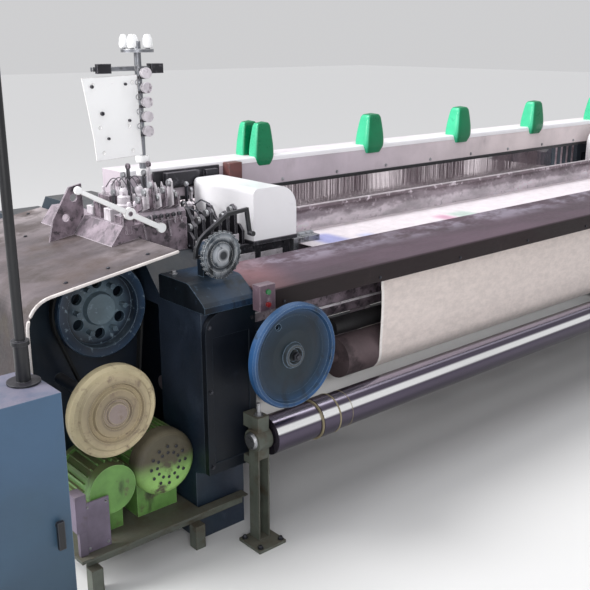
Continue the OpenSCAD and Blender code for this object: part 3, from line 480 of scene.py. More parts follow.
def pipe(path, radius, sides=8):
    """Round section carried along a path, turned to stay square to it."""
    path = np.array(path, float)
    way = np.gradient(path, axis=0)
    way /= np.linalg.norm(way, axis=1, keepdims=True) + 1e-12
    side = np.cross(way, np.where(np.abs(way[:, 2:]) > 0.9, (1.0, 0.0, 0.0), (0.0, 0.0, 1.0)))
    side /= np.linalg.norm(side, axis=1, keepdims=True) + 1e-12
    up = np.cross(side, way)
    ang = np.arange(sides) * 2 * math.pi / sides
    ring = side[:, None] * np.cos(ang)[None, :, None] + up[:, None] * np.sin(ang)[None, :, None]
    size = np.broadcast_to(np.asarray(radius, float), (len(path),))
    points = path[:, None] + ring * size[:, None, None]
    flat, faces = grid(points, True)
    faces.append(tuple(range(sides))[::-1])
    faces.append(tuple(range((len(path) - 1) * sides, len(path) * sides)))
    return flat, faces


def bars(low, high):
    """Many square bars at once, from arrays of lowest and highest corners."""
    low, high = np.atleast_2d(low).astype(float), np.atleast_2d(high).astype(float)
    pick = np.array([[i & 1, (i >> 1) & 1, (i >> 2) & 1] for i in range(8)])
    points = np.where(pick[None] == 1, high[:, None], low[:, None]).reshape(-1, 3)
    six = np.array([[0, 2, 3, 1], [4, 5, 7, 6], [0, 1, 5, 4], [2, 6, 7, 3], [0, 4, 6, 2], [1, 3, 7, 5]])
    faces = (six[None] + 8 * np.arange(len(low))[:, None, None]).reshape(-1, 4)
    return points, [tuple(f) for f in faces.tolist()]


def carried(profile, axis, low, high, closed=True):
    """Profile of (a, b) pairs carried along an axis; a and b are the two other coordinates in order."""
    prof = np.array(profile, float)
    i = "xyz".index(axis)
    rest = [n for n in range(3) if n != i]
    points = np.zeros((2, len(prof), 3))
    points[0, :, i], points[1, :, i] = low, high
    points[:, :, rest[0]] = prof[:, 0]
    points[:, :, rest[1]] = prof[:, 1]
    flat, faces = grid(points, closed)
    n = len(prof)
    if closed:
        faces += [tuple(range(n))[::-1], tuple(range(n, 2 * n))]
    return flat, faces


def bolts(places, axis, radius, height, way=1):
    """Hexagon heads on washers, at many places, pointing along an axis."""
    shapes = []
    for place in places:
        prof = [(0, 0), (radius * 1.5, 0), (radius * 1.5, way * height * 0.18),
                (radius, way * height * 0.18), (radius, way * height * 0.8), (radius * 0.8, way * height),
                (0, way * height)]
        shapes.append(turned(prof, place, axis, 6, rng.uniform(0, 1)))
    return joined(shapes)


def joined(shapes):
    """Several (points, faces) as one."""
    points, faces, start = [], [], 0
    for p, f in shapes:
        points.append(np.asarray(p, float))
        faces += [tuple(start + i for i in face) for face in f]
        start += len(p)
    return np.concatenate(points), faces


def piece(name, shapes, mat, body, bevel=0.0, smooth=35.0, stands_for=()):
    """Makes the mesh, turns its faces outwards, and lets it ride on its body."""
    points, faces = joined(shapes if isinstance(shapes, list) else [shapes])
    mesh = bpy.data.meshes.new(name)
    mesh.from_pydata(points.tolist(), [], faces)
    mesh.validate()
    obj = bpy.data.objects.new(name, mesh)
    bpy.context.scene.collection.objects.link(obj)
    bm = bmesh.new()
    bm.from_mesh(mesh)
    bmesh.ops.remove_doubles(bm, verts=bm.verts, dist=1e-6)
    bmesh.ops.recalc_face_normals(bm, faces=bm.faces)
    bm.to_mesh(mesh)
    bm.free()
    mesh.materials.append(mat)
    if smooth:
        mesh.shade_smooth()
        mesh.set_sharp_from_angle(angle=math.radians(smooth))
    if bevel:
        mod = obj.modifiers.new("edges", "BEVEL")
        mod.width = bevel
        mod.segments = 2
        mod.limit_method = "ANGLE"
    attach(obj, body)
    if stands_for:
        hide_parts(*stands_for)
    return obj


bpy.context.scene.view_settings.view_transform = "Standard"
photo_camera()
world_light()
pale_floor()
lamps()

# Rings on the round parts, as (radius, colour), from the hub out
GUARD_RINGS = [(0.03, "#8b7d78"), (0.045, "#8f8272"), (0.052, "#6f6252"), (0.062, "#96886f"),
               (0.09, "#9a8b6d"), (0.098, "#7e715a"), (0.11, "#a4967a"), (0.15, "#b5a988")]
# Handwheel: the paler outer rings are a painted highlight on the rim, painted all round.
WHEEL_RINGS = [(0.022, "#1c2124"), (0.030, "#4a4d4f"), (0.046, "#384147"), (0.05, "#16262f"),
               (0.10, "#152531"), (0.145, "#1a2f42"), (0.16, "#1d3a58"), (0.175, "#244a75")]
FLY_RINGS = [(0.05, "#647680"), (0.09, "#4a5c68"), (0.115, "#273646"), (0.125, "#151f2c"),
             (0.168, "#263d57")]
DISC_RINGS = [(0.012, "#33363a"), (0.024, "#b3b6bb"), (0.036, "#8d9298"), (0.043, "#30353b"),
              (0.050, "#3b4147"), (0.060, "#a9adb2"), (0.072, "#6f767d"), (0.082, "#474d54")]

# Finishes for the object's surfaces
FIN = {
    "navy": finish("navy_paint", "#1d2736", patch=("#333d4b", 9.0, 0.58, 0.78), dust=("#6f6a66", 0.45),
                   edge_wear_and_glint="#535c66", rough=(0.38, 0.62), tint="#182a37"),
    # Painted shade: the covers' navy darkened nearly to black, for the shade they stand in under the hood.
    "column": finish("column_paint", "#0b1019", tint="#0d1a23", patch=("#191f29", 8.0, 0.6, 0.8),
                     dust=("#35363b", 0.25), edge_wear_and_glint="#29323b", rough=(0.36, 0.55), mottle=0.25, shine=0.25),
    # Painted shade: the cap darkens toward its left end, from x -1.57 to -1.70.
    "cap": finish("cap_paint", "#1d3148", patch=("#3a4d60", 34.0, 0.6, 0.7),
                  stain=("#0e151c", 14.0, 0.46, 0.62), dust=("#26333f", 0.45), edge_wear_and_glint="#566b7e",
                  rough=(0.34, 0.55), special=along("X", -1.70, -1.57, "#0a0f16", "#20364f"), shine=0.3),
    "leg": finish("leg_paint", "#585d54", patch=("#413a2d", 12.0, 0.48, 0.68), dust=("#595247", 0.7),
                  edge_wear_and_glint="#3a2d23", rough=(0.5, 0.75)),
    "plate": finish("breast_paint", "#6a5760", rough=(0.42, 0.62), mottle=0.28, shine=0.25,
                    special=plate_colour, stain=("#4b3a40", 5.0, 0.6, 0.8), stretch=(0.35, 1.6, 1.0)),
    "bar": finish("bar_steel", "#8f9298", metal=1.0, rough=(0.22, 0.4), mottle=0.15, stretch=(0.2, 6, 6)),
    # Painted light: paler toward +X to make up for the lamps' fall-off along the beam; the near-white edge
    # colour is a painted highlight.
    "beam": finish("beam_paint", "#c6bac3", dust=("#eee8ec", 0.8), stain=("#9a8c93", 6.0, 0.6, 0.82),
                   edge_wear_and_glint="#e8e2e4", rough=(0.38, 0.55), mottle=0.12,
                   special=along("X", -0.6, 1.3, "#c6bac3", "#e8dbdb")),
    # Painted highlight: mint on the faces turned to the left through guide_colour, and mint along the edges
    # as the edge colour.
    "green": finish("guide_green", "#04784d", patch=("#0f875a", 20.0, 0.6, 0.8), edge_wear_and_glint="#5fd0a4",
                    rough=(0.24, 0.38), mottle=0.15, coat=0.15, shine=0.3, grain=0.03, edge=0.006,
                    special=guide_colour),
    "comb": finish("comb_paint", "#343c46", dust=("#6f6c69", 0.5), edge_wear_and_glint="#6f7780", rough=(0.4, 0.6)),
    "hood": finish("hood_dusty", "#625a5d", patch=("#3a322c", 6.0, 0.46, 0.62),
                   stain=("#463930", 3.2, 0.5, 0.66), dust=("#7d7377", 0.42), edge_wear_and_glint="#b9b1ae",
                   rough=(0.4, 0.7), mottle=0.75, scale=3.2, stretch=(0.6, 1.9, 1.0), shine=0.35,
                   special=hood_colour),
    "motor": finish("motor_green", "#66934b", patch=("#5a5641", 12.0, 0.54, 0.68),
                    stain=("#2c3322", 9.0, 0.58, 0.72), dust=("#675e49", 0.95), edge_wear_and_glint="#93b877",
                    rough=(0.35, 0.6)),
    "fan": finish("fan_dusty", "#5a5442", patch=("#4c4738", 9.0, 0.52, 0.64),
                  stain=("#2f2b23", 10.0, 0.56, 0.7), dust=("#6b634f", 0.7), rough=(0.5, 0.75),
                  special=along("Z", 0.31, 0.385, "#80a85c", "#4a4537")),
    "guard": finish("guard_beige", "#9c8c6c", patch=("#7a6a58", 30.0, 0.52, 0.7),
                    stain=("#6b5d50", 14.0, 0.56, 0.7), dust=("#b3a688", 0.5), edge_wear_and_glint="#c3b392",
                    rough=(0.5, 0.72), mottle=0.22, special=rings_from(GUARD, GUARD_RINGS)),
    "lilac": finish("lilac_box", "#6d6374", patch=("#51483f", 14.0, 0.55, 0.75), dust=("#9a8f92", 0.5),
                    rough=(0.45, 0.65)),
    "post": finish("post_steel", "#8e9096", metal=0.8, patch=("#3b3939", 22.0, 0.52, 0.7),
                   rough=(0.28, 0.5), edge_wear_and_glint="#dcdcde"),
    "white": finish("panel_white", "#ffffff", patch=("#d6d2ce", 30.0, 0.68, 0.85), edge_wear_and_glint="#c4bfb9",
                    rough=(0.35, 0.5), mottle=0.03),
    "dark": finish("unit_dark", "#2b2a30", patch=("#5c5a61", 26.0, 0.55, 0.7), dust=("#77727a", 0.6),
                   edge_wear_and_glint="#8a888f", rough=(0.3, 0.55), metal=0.3),
    "cover": finish("cover_white", "#f4f2f5", patch=("#e3dfe4", 9.0, 0.6, 0.8), rough=(0.3, 0.42),
                    mottle=0.03, coat=0.2, grain=0.04),
    "cabinet": finish("cabinet_blue", "#38506a", tint="#365063", patch=("#64727f", 40.0, 0.7, 0.85),
                      dust=("#7d7786", 0.9), edge_wear_and_glint="#6d8096", rough=(0.38, 0.52), mottle=0.1,
                      special=along("Z", 0.1, 0.8, "#2d4151", "#3b5671")),
    "black": finish("black_paint", "#15161a", dust=("#45424a", 0.4), edge_wear_and_glint="#47484e", rough=(0.3, 0.5),
                    mottle=0.2),
    "gear": finish("gear_plastic", "#9a9a96", patch=("#85857f", 18.0, 0.55, 0.7), rough=(0.4, 0.6)),
    "mauve": finish("mauve_box", "#57454f", patch=("#7f6e77", 30.0, 0.55, 0.7), dust=("#8b7d84", 0.5),
                    edge_wear_and_glint="#8f8189", rough=(0.4, 0.6)),
    "iron": finish("sley_iron", "#a79ca4", patch=("#b8adb4", 12.0, 0.5, 0.7), dust=("#e0d7dd", 0.85),
                   edge_wear_and_glint="#cfc6cc", rough=(0.35, 0.6)),
    "reed": finish("reed_steel", "#a79ca4", metal=0.1, rough=(0.3, 0.5), mottle=0.4, dust=("#e0d9dd", 0.6),
                   patch=("#cfc4cb", 30.0, 0.54, 0.66), stretch=(0.6, 2, 2), special=reed_colour),
    "heald": finish("heald_metal", "#a08f97", metal=0.1, patch=("#6a555c", 9.0, 0.5, 0.64),
                    dust=("#cdc0c8", 0.6), rough=(0.35, 0.55), edge_wear_and_glint="#c3b6bd", mottle=0.6, scale=11.0),
    "roller": finish("roller_cover", "#5f5053", patch=("#403538", 10.0, 0.5, 0.7), rough=(0.6, 0.85),
                     mottle=0.3, grain=0.5),
    "press": finish("press_rubber", "#232224", rough=(0.5, 0.7), grain=0.3),
    "tube": finish("tube_metal", "#5a5462", metal=0.85, rough=(0.12, 0.28), mottle=0.25, scale=3.0,
                   stretch=(0.12, 5, 5), grain=0.04, special=tube_colour),
    "wheel": finish("wheel_blue", "#1f3c5c", patch=("#15232f", 20.0, 0.55, 0.7),
                    stain=("#131d26", 9.0, 0.56, 0.72), dust=("#495762", 0.3), edge_wear_and_glint="#7c93aa",
                    rough=(0.3, 0.5), mottle=0.35, special=rings_from(WHEEL, WHEEL_RINGS), shine=0.35),
    "fly": finish("fly_paint", "#243750", patch=("#71828f", 45.0, 0.57, 0.66), dust=("#5f6a70", 0.4),
                  edge_wear_and_glint="#6b8092", rough=(0.3, 0.5), special=rings_from(FLY, FLY_RINGS)),
    "pulley": finish("pulley_steel", "#5c6066", metal=0.9, rough=(0.3, 0.5)),
    "belt": finish("belt_rubber", "#141517", rough=(0.55, 0.75), grain=0.4),
    "disc": finish("disc_metal", "#767b80", metal=0.6, patch=("#333b44", 26.0, 0.5, 0.64),
                   stain=("#1d2024", 20.0, 0.50, 0.64), edge_wear_and_glint="#b3b6b9", rough=(0.25, 0.45),
                   special=rings_from(DISC, DISC_RINGS)),
    "start": finish("start_green", "#1f6a38", rough=(0.25, 0.35), coat=0.3),
    "stop": finish("stop_red", "#8f2626", rough=(0.25, 0.35), coat=0.3),
    "cloth": woven("cloth_woven", "#ece3dc", special=cloth_colour),
    "yarn": ribbed("yarn_wound", "#dcd4c6"),
    "threads": woven("yarn_threads", "#d9cfd3", crease=0.1),
    "redbrown": finish("redbrown_block", "#6f4340", patch=("#4a3838", 22.0, 0.5, 0.7), rough=(0.4, 0.6)),
    "zinc": finish("bolt_zinc", "#a9aaae", metal=0.9, patch=("#5a5550", 60.0, 0.5, 0.7), rough=(0.3, 0.5),
                   edge=0.0),
    "oily": finish("bolt_oily", "#44454b", metal=0.8, rough=(0.3, 0.5), edge=0.0),
    # Painted highlight: the pale lip stands for the light caught along the hood's front edge.
    "lip": finish("hood_lip_pale", "#cfc8c5", patch=("#8b7f76", 12.0, 0.55, 0.7), rough=(0.4, 0.6)),
    "tape": finish("tape_ring", "#8f8468", rough=(0.5, 0.7)),
    "violet": finish("cast_mauve", "#7d7079", patch=("#3a343a", 30.0, 0.5, 0.62), dust=("#b9adb7", 0.6),
                     edge_wear_and_glint="#cfc6ce", rough=(0.35, 0.6), mottle=0.55, scale=20.0),
    "pale": finish("cast_pale", "#d2cbd1", patch=("#7d7079", 26.0, 0.56, 0.68), dust=("#efe9ee", 0.6),
                   edge_wear_and_glint="#f2eef1", rough=(0.35, 0.6), mottle=0.3, scale=16.0),
}
DRESS = {
    "navy": "side_frame_left side_frame_right cross_ties drive_box right_box",
    "column": "column_covers",
    "cap": "column_caps worm_box",
    "leg": "legs motor_base",
    "plate": "breast_plate plate_brackets",
    "bar": "cloth_bars whip_roller",
    "beam": "top_beam",
    "green": "frame_guides",
    "comb": "harness_combs",
    "hood": "hood_left hood_right",
    "motor": "main_motor second_motor",
    "fan": "motor_fan_cover",
    "guard": "round_guard",
    "lilac": "terminal_box",
    "violet": "stand_base stand_bracket",
    "post": "stand_post temples",
    "pale": "tensioners",
    "white": "stand_panel weft_lever",
    "dark": "picking_unit",
    "cover": "unit_cover receiving_unit",
    "cabinet": "cabinet cabinet_door",
    "black": "door_handle pole hand_lever",
    "gear": "cabinet_gear",
    "mauve": "button_box",
    "iron": "sley",
    "reed": "reed",
    "heald": "heald_frame_1 heald_frame_2 heald_frame_3 heald_frame_4",
    "cloth": "cloth",
    "threads": "warp_sheet",
    "yarn": "warp_beam",
    "roller": "takeup_roller",
    "press": "press_roller",
    "tube": "cloth_tube",
    "wheel": "handwheel",
    "fly": "flywheel",
    "pulley": "motor_pulley",
    "belt": "drive_belt",
    "disc": "index_disc",
    "start": "start_button",
    "stop": "stop_button",
}
for key, names in DRESS.items():
    for node_name in names.split():
        obj = nodes[node_name]
        if not obj.material_slots:
            obj.data.materials.append(FIN[key])
        for holder in obj.material_slots:
            holder.material = FIN[key]


# Cloth and warp

def arc_path(centre, radius, first, last, count):
    """Points of (y, z) on a circle from one angle to another, in degrees."""
    a = np.radians(np.linspace(first, last, count))
    return np.stack([centre[0] + radius * np.cos(a), centre[1] + radius * np.sin(a)], axis=1)


def touch_angle(a, ra, b, rb, side):
    """Angle at which one straight line touches two circles on the same side."""
    gap = math.hypot(b[0] - a[0], b[1] - a[1])
    heading = math.degrees(math.atan2(b[1] - a[1], b[0] - a[0]))
    return heading + side * math.degrees(math.acos((ra - rb) / gap))


def resampled(path, count):
    """The path with points at even steps along its length, and that length."""
    step = np.concatenate([[0], np.cumsum(np.linalg.norm(np.diff(path, axis=0), axis=1))])
    at = np.linspace(0, step[-1], count)
    return np.stack([np.interp(at, step, path[:, i]) for i in range(path.shape[1])], axis=1), step[-1]


def woven_cloth():
    """Cloth from the fell over the nose bar and down round the take-up roller.

    Height and depth follow the path of the cloth; across, X runs between edges that draw in below the
    nose; crinkles are sums of sines, let in only where the cloth hangs free.
    """
    rows, across, waves, level_rows = 300, 165, 26, 60
    thickness, deepest_crinkle, slack = 0.0010, 0.0042, 0.0022
    lean = 360 + touch_angle(NOSE, NOSE_R, LOW_BAR, LOW_BAR_R, -1)
    path = np.concatenate([[(FELL_Y, WEAVE_Z + LIFT)], arc_path(NOSE, NOSE_R, 90, lean, 9),
                           arc_path(LOW_BAR, LOW_BAR_R, lean, 180, 9),
                           arc_path(TAKEUP, TAKEUP_R, 180, 430, 60)])
    path, length = resampled(path, rows)
    y, z = path[:, 0], path[:, 1]
    below = 1 / (1 + np.exp(-(0.90 - z) / 0.006)) * (np.arange(rows) > level_rows)
    left = REED_0 + DRAW_IN * np.maximum.accumulate(below)
    right = REED_1 - DRAW_IN * np.maximum.accumulate(below)
    x = left[:, None] + (right - left)[:, None] * np.linspace(0, 1, across)[None]
    depth = np.linspace(0, 1, rows)[:, None] * length
    crinkle = np.zeros_like(x)
    for _ in range(waves):
        fx, fs = rng.uniform(4, 38), rng.uniform(-22, 22)
        crinkle += np.sin(fx * x + fs * depth + rng.uniform(0, 6.28)) * rng.uniform(0.4, 1) / (1 + fx
                * 0.06)
    crinkle = np.abs(crinkle) ** 0.8 * np.sign(crinkle)
    hangs = np.clip((z - 0.545) / 0.05, 0, 1) * np.clip((0.81 - z) / 0.03, 0, 1) * (y < -0.74)
    crinkle = crinkle / np.abs(crinkle).max() * deepest_crinkle * hangs[:, None]
    points = np.stack([x, y[:, None] - crinkle - slack * hangs[:, None],
                       np.broadcast_to(z[:, None], x.shape)], axis=-1)
    obj = piece("woven_cloth", grid(points), FIN["cloth"], "frame", smooth=80,
                stands_for=["cloth"])
    wall = obj.modifiers.new("thickness", "SOLIDIFY")
    wall.thickness = thickness
    wall.offset = 0


def warp_yarns():
    """Yarns every 2 mm: level through the reed and the healds, over the back rest, down to the wound beam.

    Each yarn is a three-sided tube carried along that path, its place across off by a hair at random.
    """
    radius, wander = 0.00055, 0.00018
    level = WEAVE_Z + LIFT
    lean = touch_angle(WHIP, WHIP_R, PACK, PACK_R, 1)
    path = np.concatenate([[(FELL_Y + 0.002, level), (0.12, level), (0.5, level)],
                           arc_path(WHIP, WHIP_R, 90, lean, 7), arc_path(PACK, PACK_R, lean, lean - 4, 2)])
    x = np.arange(REED_0 + 0.007, REED_1 - 0.006, PITCH)
    ang = np.arange(3) * 2 * math.pi / 3 + math.pi / 2
    away = np.gradient(path, axis=0)
    away = np.stack([-away[:, 1], away[:, 0]], axis=1)
    away /= np.linalg.norm(away, axis=1, keepdims=True)
    n, m = len(x), len(path)
    points = np.zeros((n, m, 3, 3))
    off = rng.normal(0, wander, (n, 1))
    points[..., 0] = (x[:, None] + off)[:, :, None] + radius * np.cos(ang)
    for axis in (0, 1):
        points[..., axis + 1] = (path[:, axis][None, :, None]
                                 + away[:, axis][None, :, None] * radius * np.sin(ang))
    at = np.arange(n * m * 3).reshape(n, m, 3)
    nxt = np.roll(at, -1, axis=2)
    quads = np.stack([at[:, :-1], nxt[:, :-1], nxt[:, 1:], at[:, 1:]], axis=-1).reshape(-1, 4)
    caps = np.concatenate([at[:, 0, ::-1], at[:, -1]])
    faces = [tuple(q) for q in quads.tolist()] + [tuple(q) for q in caps.tolist()]
    piece("warp_yarns", (points.reshape(-1, 3), faces), FIN["threads"], "frame", smooth=80,
          stands_for=["warp_sheet"])


def reed_wall():
    """Reed: flat wires every 2 mm between a lower rail and a half-round cap."""
    foot, head, depth = 0.941, 1.042, 0.016
    half_wire = 0.0006
    x = np.arange(REED_0 + 0.002, REED_1 - 0.001, PITCH)
    low = np.stack([x - half_wire, np.full_like(x, REED_Y + 0.002), np.full_like(x, foot)], axis=1)
    high = np.stack([x + half_wire, np.full_like(x, REED_Y + 0.014), np.full_like(x, head)], axis=1)
    a = np.radians(np.linspace(180, 0, 9))
    round_top = np.stack([REED_Y + 0.008 + 0.010 * np.cos(a), 1.049 + 0.009 * np.sin(a)], axis=1)
    cap = np.concatenate([[(REED_Y - 0.002, 1.040)], round_top, [(REED_Y + 0.018, 1.040)]])
    rail = [(REED_Y, 0.928), (REED_Y, 0.942), (REED_Y + depth, 0.942), (REED_Y + depth, 0.928)]
    ends = bars([[REED_0, REED_Y, foot], [REED_1 - 0.006, REED_Y, foot]],
                [[REED_0 + 0.006, REED_Y + depth, 1.041], [REED_1, REED_Y + depth, 1.041]])
    shapes = [bars(low, high), carried(cap, "x", REED_0, REED_1), carried(rail, "x", REED_0, REED_1), ends]
    piece("reed_wires", shapes, FIN["reed"], "sley", stands_for=["reed"])


def heald_frame(k):
    """Heald frame k: hollow-ribbed rails, end stays, hooks, and wires with a lozenge eye every 10 mm."""
    y0 = HEALD_Y + k * HEALD_PITCH
    y1 = y0 + 0.012
    mid = (y0 + y1) / 2

    def rail(z0, z1):
        """Rail from z0 to z1, hollowed on both faces between its edges."""
        prof = [(y0, z0), (y0, z0 + 0.006), (y0 + 0.002, z0 + 0.010), (y0 + 0.002, z1 - 0.010),
                (y0, z1 - 0.006), (y0, z1), (y1, z1), (y1, z1 - 0.006), (y1 - 0.002, z1 - 0.010),
                (y1 - 0.002, z0 + 0.010), (y1, z0 + 0.006), (y1, z0)]
        return carried(prof, "x", HEALD_0 - STAY, HEALD_1 + STAY)

    shapes = [rail(0.64, 0.70), rail(1.11, 1.16)]
    stays = (HEALD_0 - STAY, HEALD_1)
    shapes.append(bars([[x, y0, 0.699] for x in stays], [[x + STAY, y1, 1.111] for x in stays]))
    rods = (0.705, 1.097)
    shapes.append(bars([[REED_0 - 0.04, mid - 0.002, z] for z in rods],
                       [[REED_1 + 0.04, mid + 0.002, z + 0.008] for z in rods]))
    hooks = [(x, z) for x in np.linspace(REED_0, REED_1, 7) for z in (0.699, 1.092)]
    shapes.append(bars([[x - 0.006, mid - 0.004, z] for x, z in hooks],
                       [[x + 0.006, mid + 0.004, z + 0.02] for x, z in hooks]))
    for x in (HEALD_0 + 0.3, HEALD_1 - 0.3):
        shapes.append(pipe([(x, mid, z) for z in (0.5, 0.56, 0.60, 0.645)], 0.005, 10))
    x = np.arange(REED_0 + 0.005 + 0.0025 * k, REED_1 - 0.004, 0.010)
    x = x + rng.normal(0, 0.0008, len(x))
    w, t = 0.0011, 0.0005
    cuts = [(-w, 0.703, w, 0.942), (-w, 0.959, w, 1.106),
            (-w * 2.0, 0.942, -w, 0.959), (w, 0.942, w * 2.0, 0.959)]
    low = np.concatenate([np.stack([x + a, np.full_like(x, mid - t), np.full_like(x, b)], axis=1)
                          for a, b, _, _ in cuts])
    high = np.concatenate([np.stack([x + c, np.full_like(x, mid + t), np.full_like(x, d)], axis=1)
                           for _, _, c, d in cuts])
    shapes.append(bars(low, high))
    piece(f"heald_set_{k + 1}", shapes, FIN["heald"], f"heald_{k + 1}",
          stands_for=[f"heald_frame_{k + 1}"])


woven_cloth()
warp_yarns()
reed_wall()
for k in range(4):
    heald_frame(k)


# Small pieces on the loom

def raised(profile, by):
    """Profile of (radius, height) with every height moved."""
    return [(radius, height + by) for radius, height in profile]


def roller(x, y, z, radius):
    """Small roller on an axis along X, its ends chamfered."""
    edge = radius - 0.002
    prof = [(0, -0.003), (edge, -0.003), (radius, 0), (radius, 0.006), (edge, 0.009), (0, 0.009)]
    return turned(raised(prof, x), (0, y, z), "x", 16)


def coil(start, end, radius, wire, rounds):
    """Coil spring between two points: a circle square to the line, turned as it goes along it."""
    start, end = np.array(start, float), np.array(end, float)
    way = (end - start) / np.linalg.norm(end - start)
    side = np.cross(way, (0.0, 0.0, 1.0) if abs(way[2]) < 0.9 else (1.0, 0.0, 0.0))
    side /= np.linalg.norm(side)
    up = np.cross(way, side)
    t = np.linspace(0, 1, rounds * 16)
    a = 2 * math.pi * rounds * t
    path = start + (end - start) * t[:, None] + radius * (side * np.cos(a)[:, None] + up
                                                          * np.sin(a)[:, None])
    return pipe(path, wire, 5)


def beam_trim():
    """Pale strip painted as the highlight on the beam's upper edge, a dark bracket and a block at its left
    end, a black bar painted as the shadow under the beam, and bolts.
    """
    # Painted highlight: a white strip along the beam's rounded upper edge.
    a = np.radians(np.linspace(180, 90, 5))
    nose = np.stack([-0.052 + 0.0095 * np.cos(a), 1.2405 + 0.0095 * np.sin(a)], axis=1)
    strip = np.concatenate([[(-0.0615, 1.226)], nose, [(-0.030, 1.2500), (-0.030, 1.2492)],
                            [(-0.0525, 1.2490), (-0.0600, 1.2405), (-0.0600, 1.226)]])
    piece("beam_edge_highlight", carried(strip, "x", X_L - 0.05, X_R + 0.05), FIN["cover"], "frame")
    bracket = bars([[-1.405, -0.071, 1.160], [-1.36, -0.098, 1.172], [-1.16, -0.090, 1.178]],
                   [[-1.08, -0.060, 1.236], [-1.20, -0.071, 1.228], [-1.10, -0.071, 1.224]])
    piece("beam_bracket", bracket, FIN["dark"], "frame", bevel=0.002)
    piece("beam_block", bars([[-1.055, -0.108, 1.168]], [[-0.985, -0.060, 1.243]]),
          FIN["redbrown"], "frame", bevel=0.004)
    # Painted shadow: a black bar along the underside of the beam.
    piece("beam_shadow_bar", bars([[X_L + 0.002, -0.066, 1.106]], [[X_R - 0.002, -0.048, 1.1215]]),
          FIN["black"], "frame", bevel=0.001)
    row = [(x, -0.060, 1.137) for x in np.linspace(-1.4, 2.0, 11)]
    piece("beam_bolts", bolts(row, "y", 0.006, 0.006, -1), FIN["zinc"], "frame")


def frame_bolts():
    """Hexagon bolts where the castings, covers and rails are fixed."""
    cover_xs = (X_LO + 0.016, X_L - 0.014, X_R + 0.014, X_RO - 0.016)
    covers = [(x, -0.824, z) for x in cover_xs for z in (0.32, 0.60, 0.83)]
    piece("cover_bolts", bolts(covers, "y", 0.006, 0.007, -1), FIN["oily"], "frame")
    caps = [(x, -0.70, 0.968) for x in (X_L - 0.03, X_RO - 0.03)]
    caps += [(x, -0.60, 0.968) for x in (X_LO + 0.03, X_R + 0.03)]
    piece("cap_bolts", bolts(caps, "z", 0.010, 0.012), FIN["zinc"], "frame")
    feet = [(x, y, 0.012) for x in (X_L - 0.085, X_L + 0.008) for y in (-0.945, -0.855)]
    feet += [(2 * MIDDLE - x, y, z) for x, y, z in feet]
    piece("foot_bolts", bolts(feet, "z", 0.008, 0.012), FIN["oily"], "frame")
    plate = [(x, -0.850, 0.868) for x in np.linspace(-1.38, 2.0, 8)]
    piece("plate_bolts", bolts(plate, "y", 0.005, 0.005, -1), FIN["oily"], "frame")
    box = [(x, -0.842, z) for x in (X_L + 0.012, WHEEL[0] + 0.058) for z in (0.650, 0.766)]
    piece("worm_bolts", bolts(box, "y", 0.005, 0.006, -1), FIN["oily"], "frame")


def shade_apron():
    """Bent sheet hung on the front tie as painted shade, closing the gap between the breast plate and the
    rollers where the loom's inside lies in shade.
    """
    y, t = -0.6006, 0.002
    prof = [(y, 0.84), (y - t, 0.84), (y - t, 0.668), (y - t + 0.004, 0.660), (y + 0.016, 0.652),
            (y + 0.016, 0.654), (y + 0.0025, 0.6615), (y, 0.668)]
    piece("shade_apron", carried(prof, "x", X_L + 0.012, X_R - 0.012), FIN["violet"], "frame")
    row = [(x, y - t, 0.822) for x in np.linspace(X_L + 0.08, X_R - 0.08, 9)]
    piece("apron_bolts", bolts(row, "y", 0.006, 0.006, -1), FIN["zinc"], "frame")
    strips = bars([[X_L + 0.02, y - t - 0.006, z] for z in (0.700, 0.752)],
                  [[X_R - 0.02, y - t, z + 0.010] for z in (0.700, 0.752)])
    piece("apron_strips", strips, FIN["pale"], "frame", bevel=0.001)


def green_guides():
    """Moulded guides: a rounded square section, narrow at the foot, fullest low down, blunt on top.

    Half width and half depth follow a smooth curve of the height t; the section is a superellipse.
    """
    sides, squareness = 40, 0.42
    knots = np.array([0, 0.05, 0.14, 0.28, 0.5, 0.75, 0.90, 0.97, 1.0])
    full = np.array([0.72, 0.80, 0.96, 1.0, 0.93, 0.80, 0.70, 0.55, 0.02])
    t = np.concatenate([np.linspace(0, 0.9, 19), np.linspace(0.92, 1.0, 9)])
    size = np.interp(t, knots, full)
    size[1:-2] = (size[:-3] + 2 * size[1:-2] + size[2:-1]) / 4
    a = np.arange(sides) * 2 * math.pi / sides
    cx = np.sign(np.cos(a)) * np.abs(np.cos(a)) ** squareness
    cy = np.sign(np.sin(a)) * np.abs(np.sin(a)) ** squareness
    heights = np.broadcast_to((GUIDE_Z + GUIDE_H * t)[:, None], (len(t), sides))
    shapes = []
    for x, y, w, d in GUIDES:
        lean = -0.06 * d * t
        points = np.stack([x + 0.5 * w * size[:, None] * cx[None],
                           y + lean[:, None] + 0.5 * d * size[:, None] * cy[None], heights], axis=-1)
        flat, faces = grid(points, True)
        faces += [tuple(range(sides))[::-1], tuple(range((len(t) - 1) * sides, len(t) * sides))]
        shapes.append((flat, faces))
    piece("green_guides", shapes, FIN["green"], "frame", smooth=50,
          stands_for=["frame_guides"])


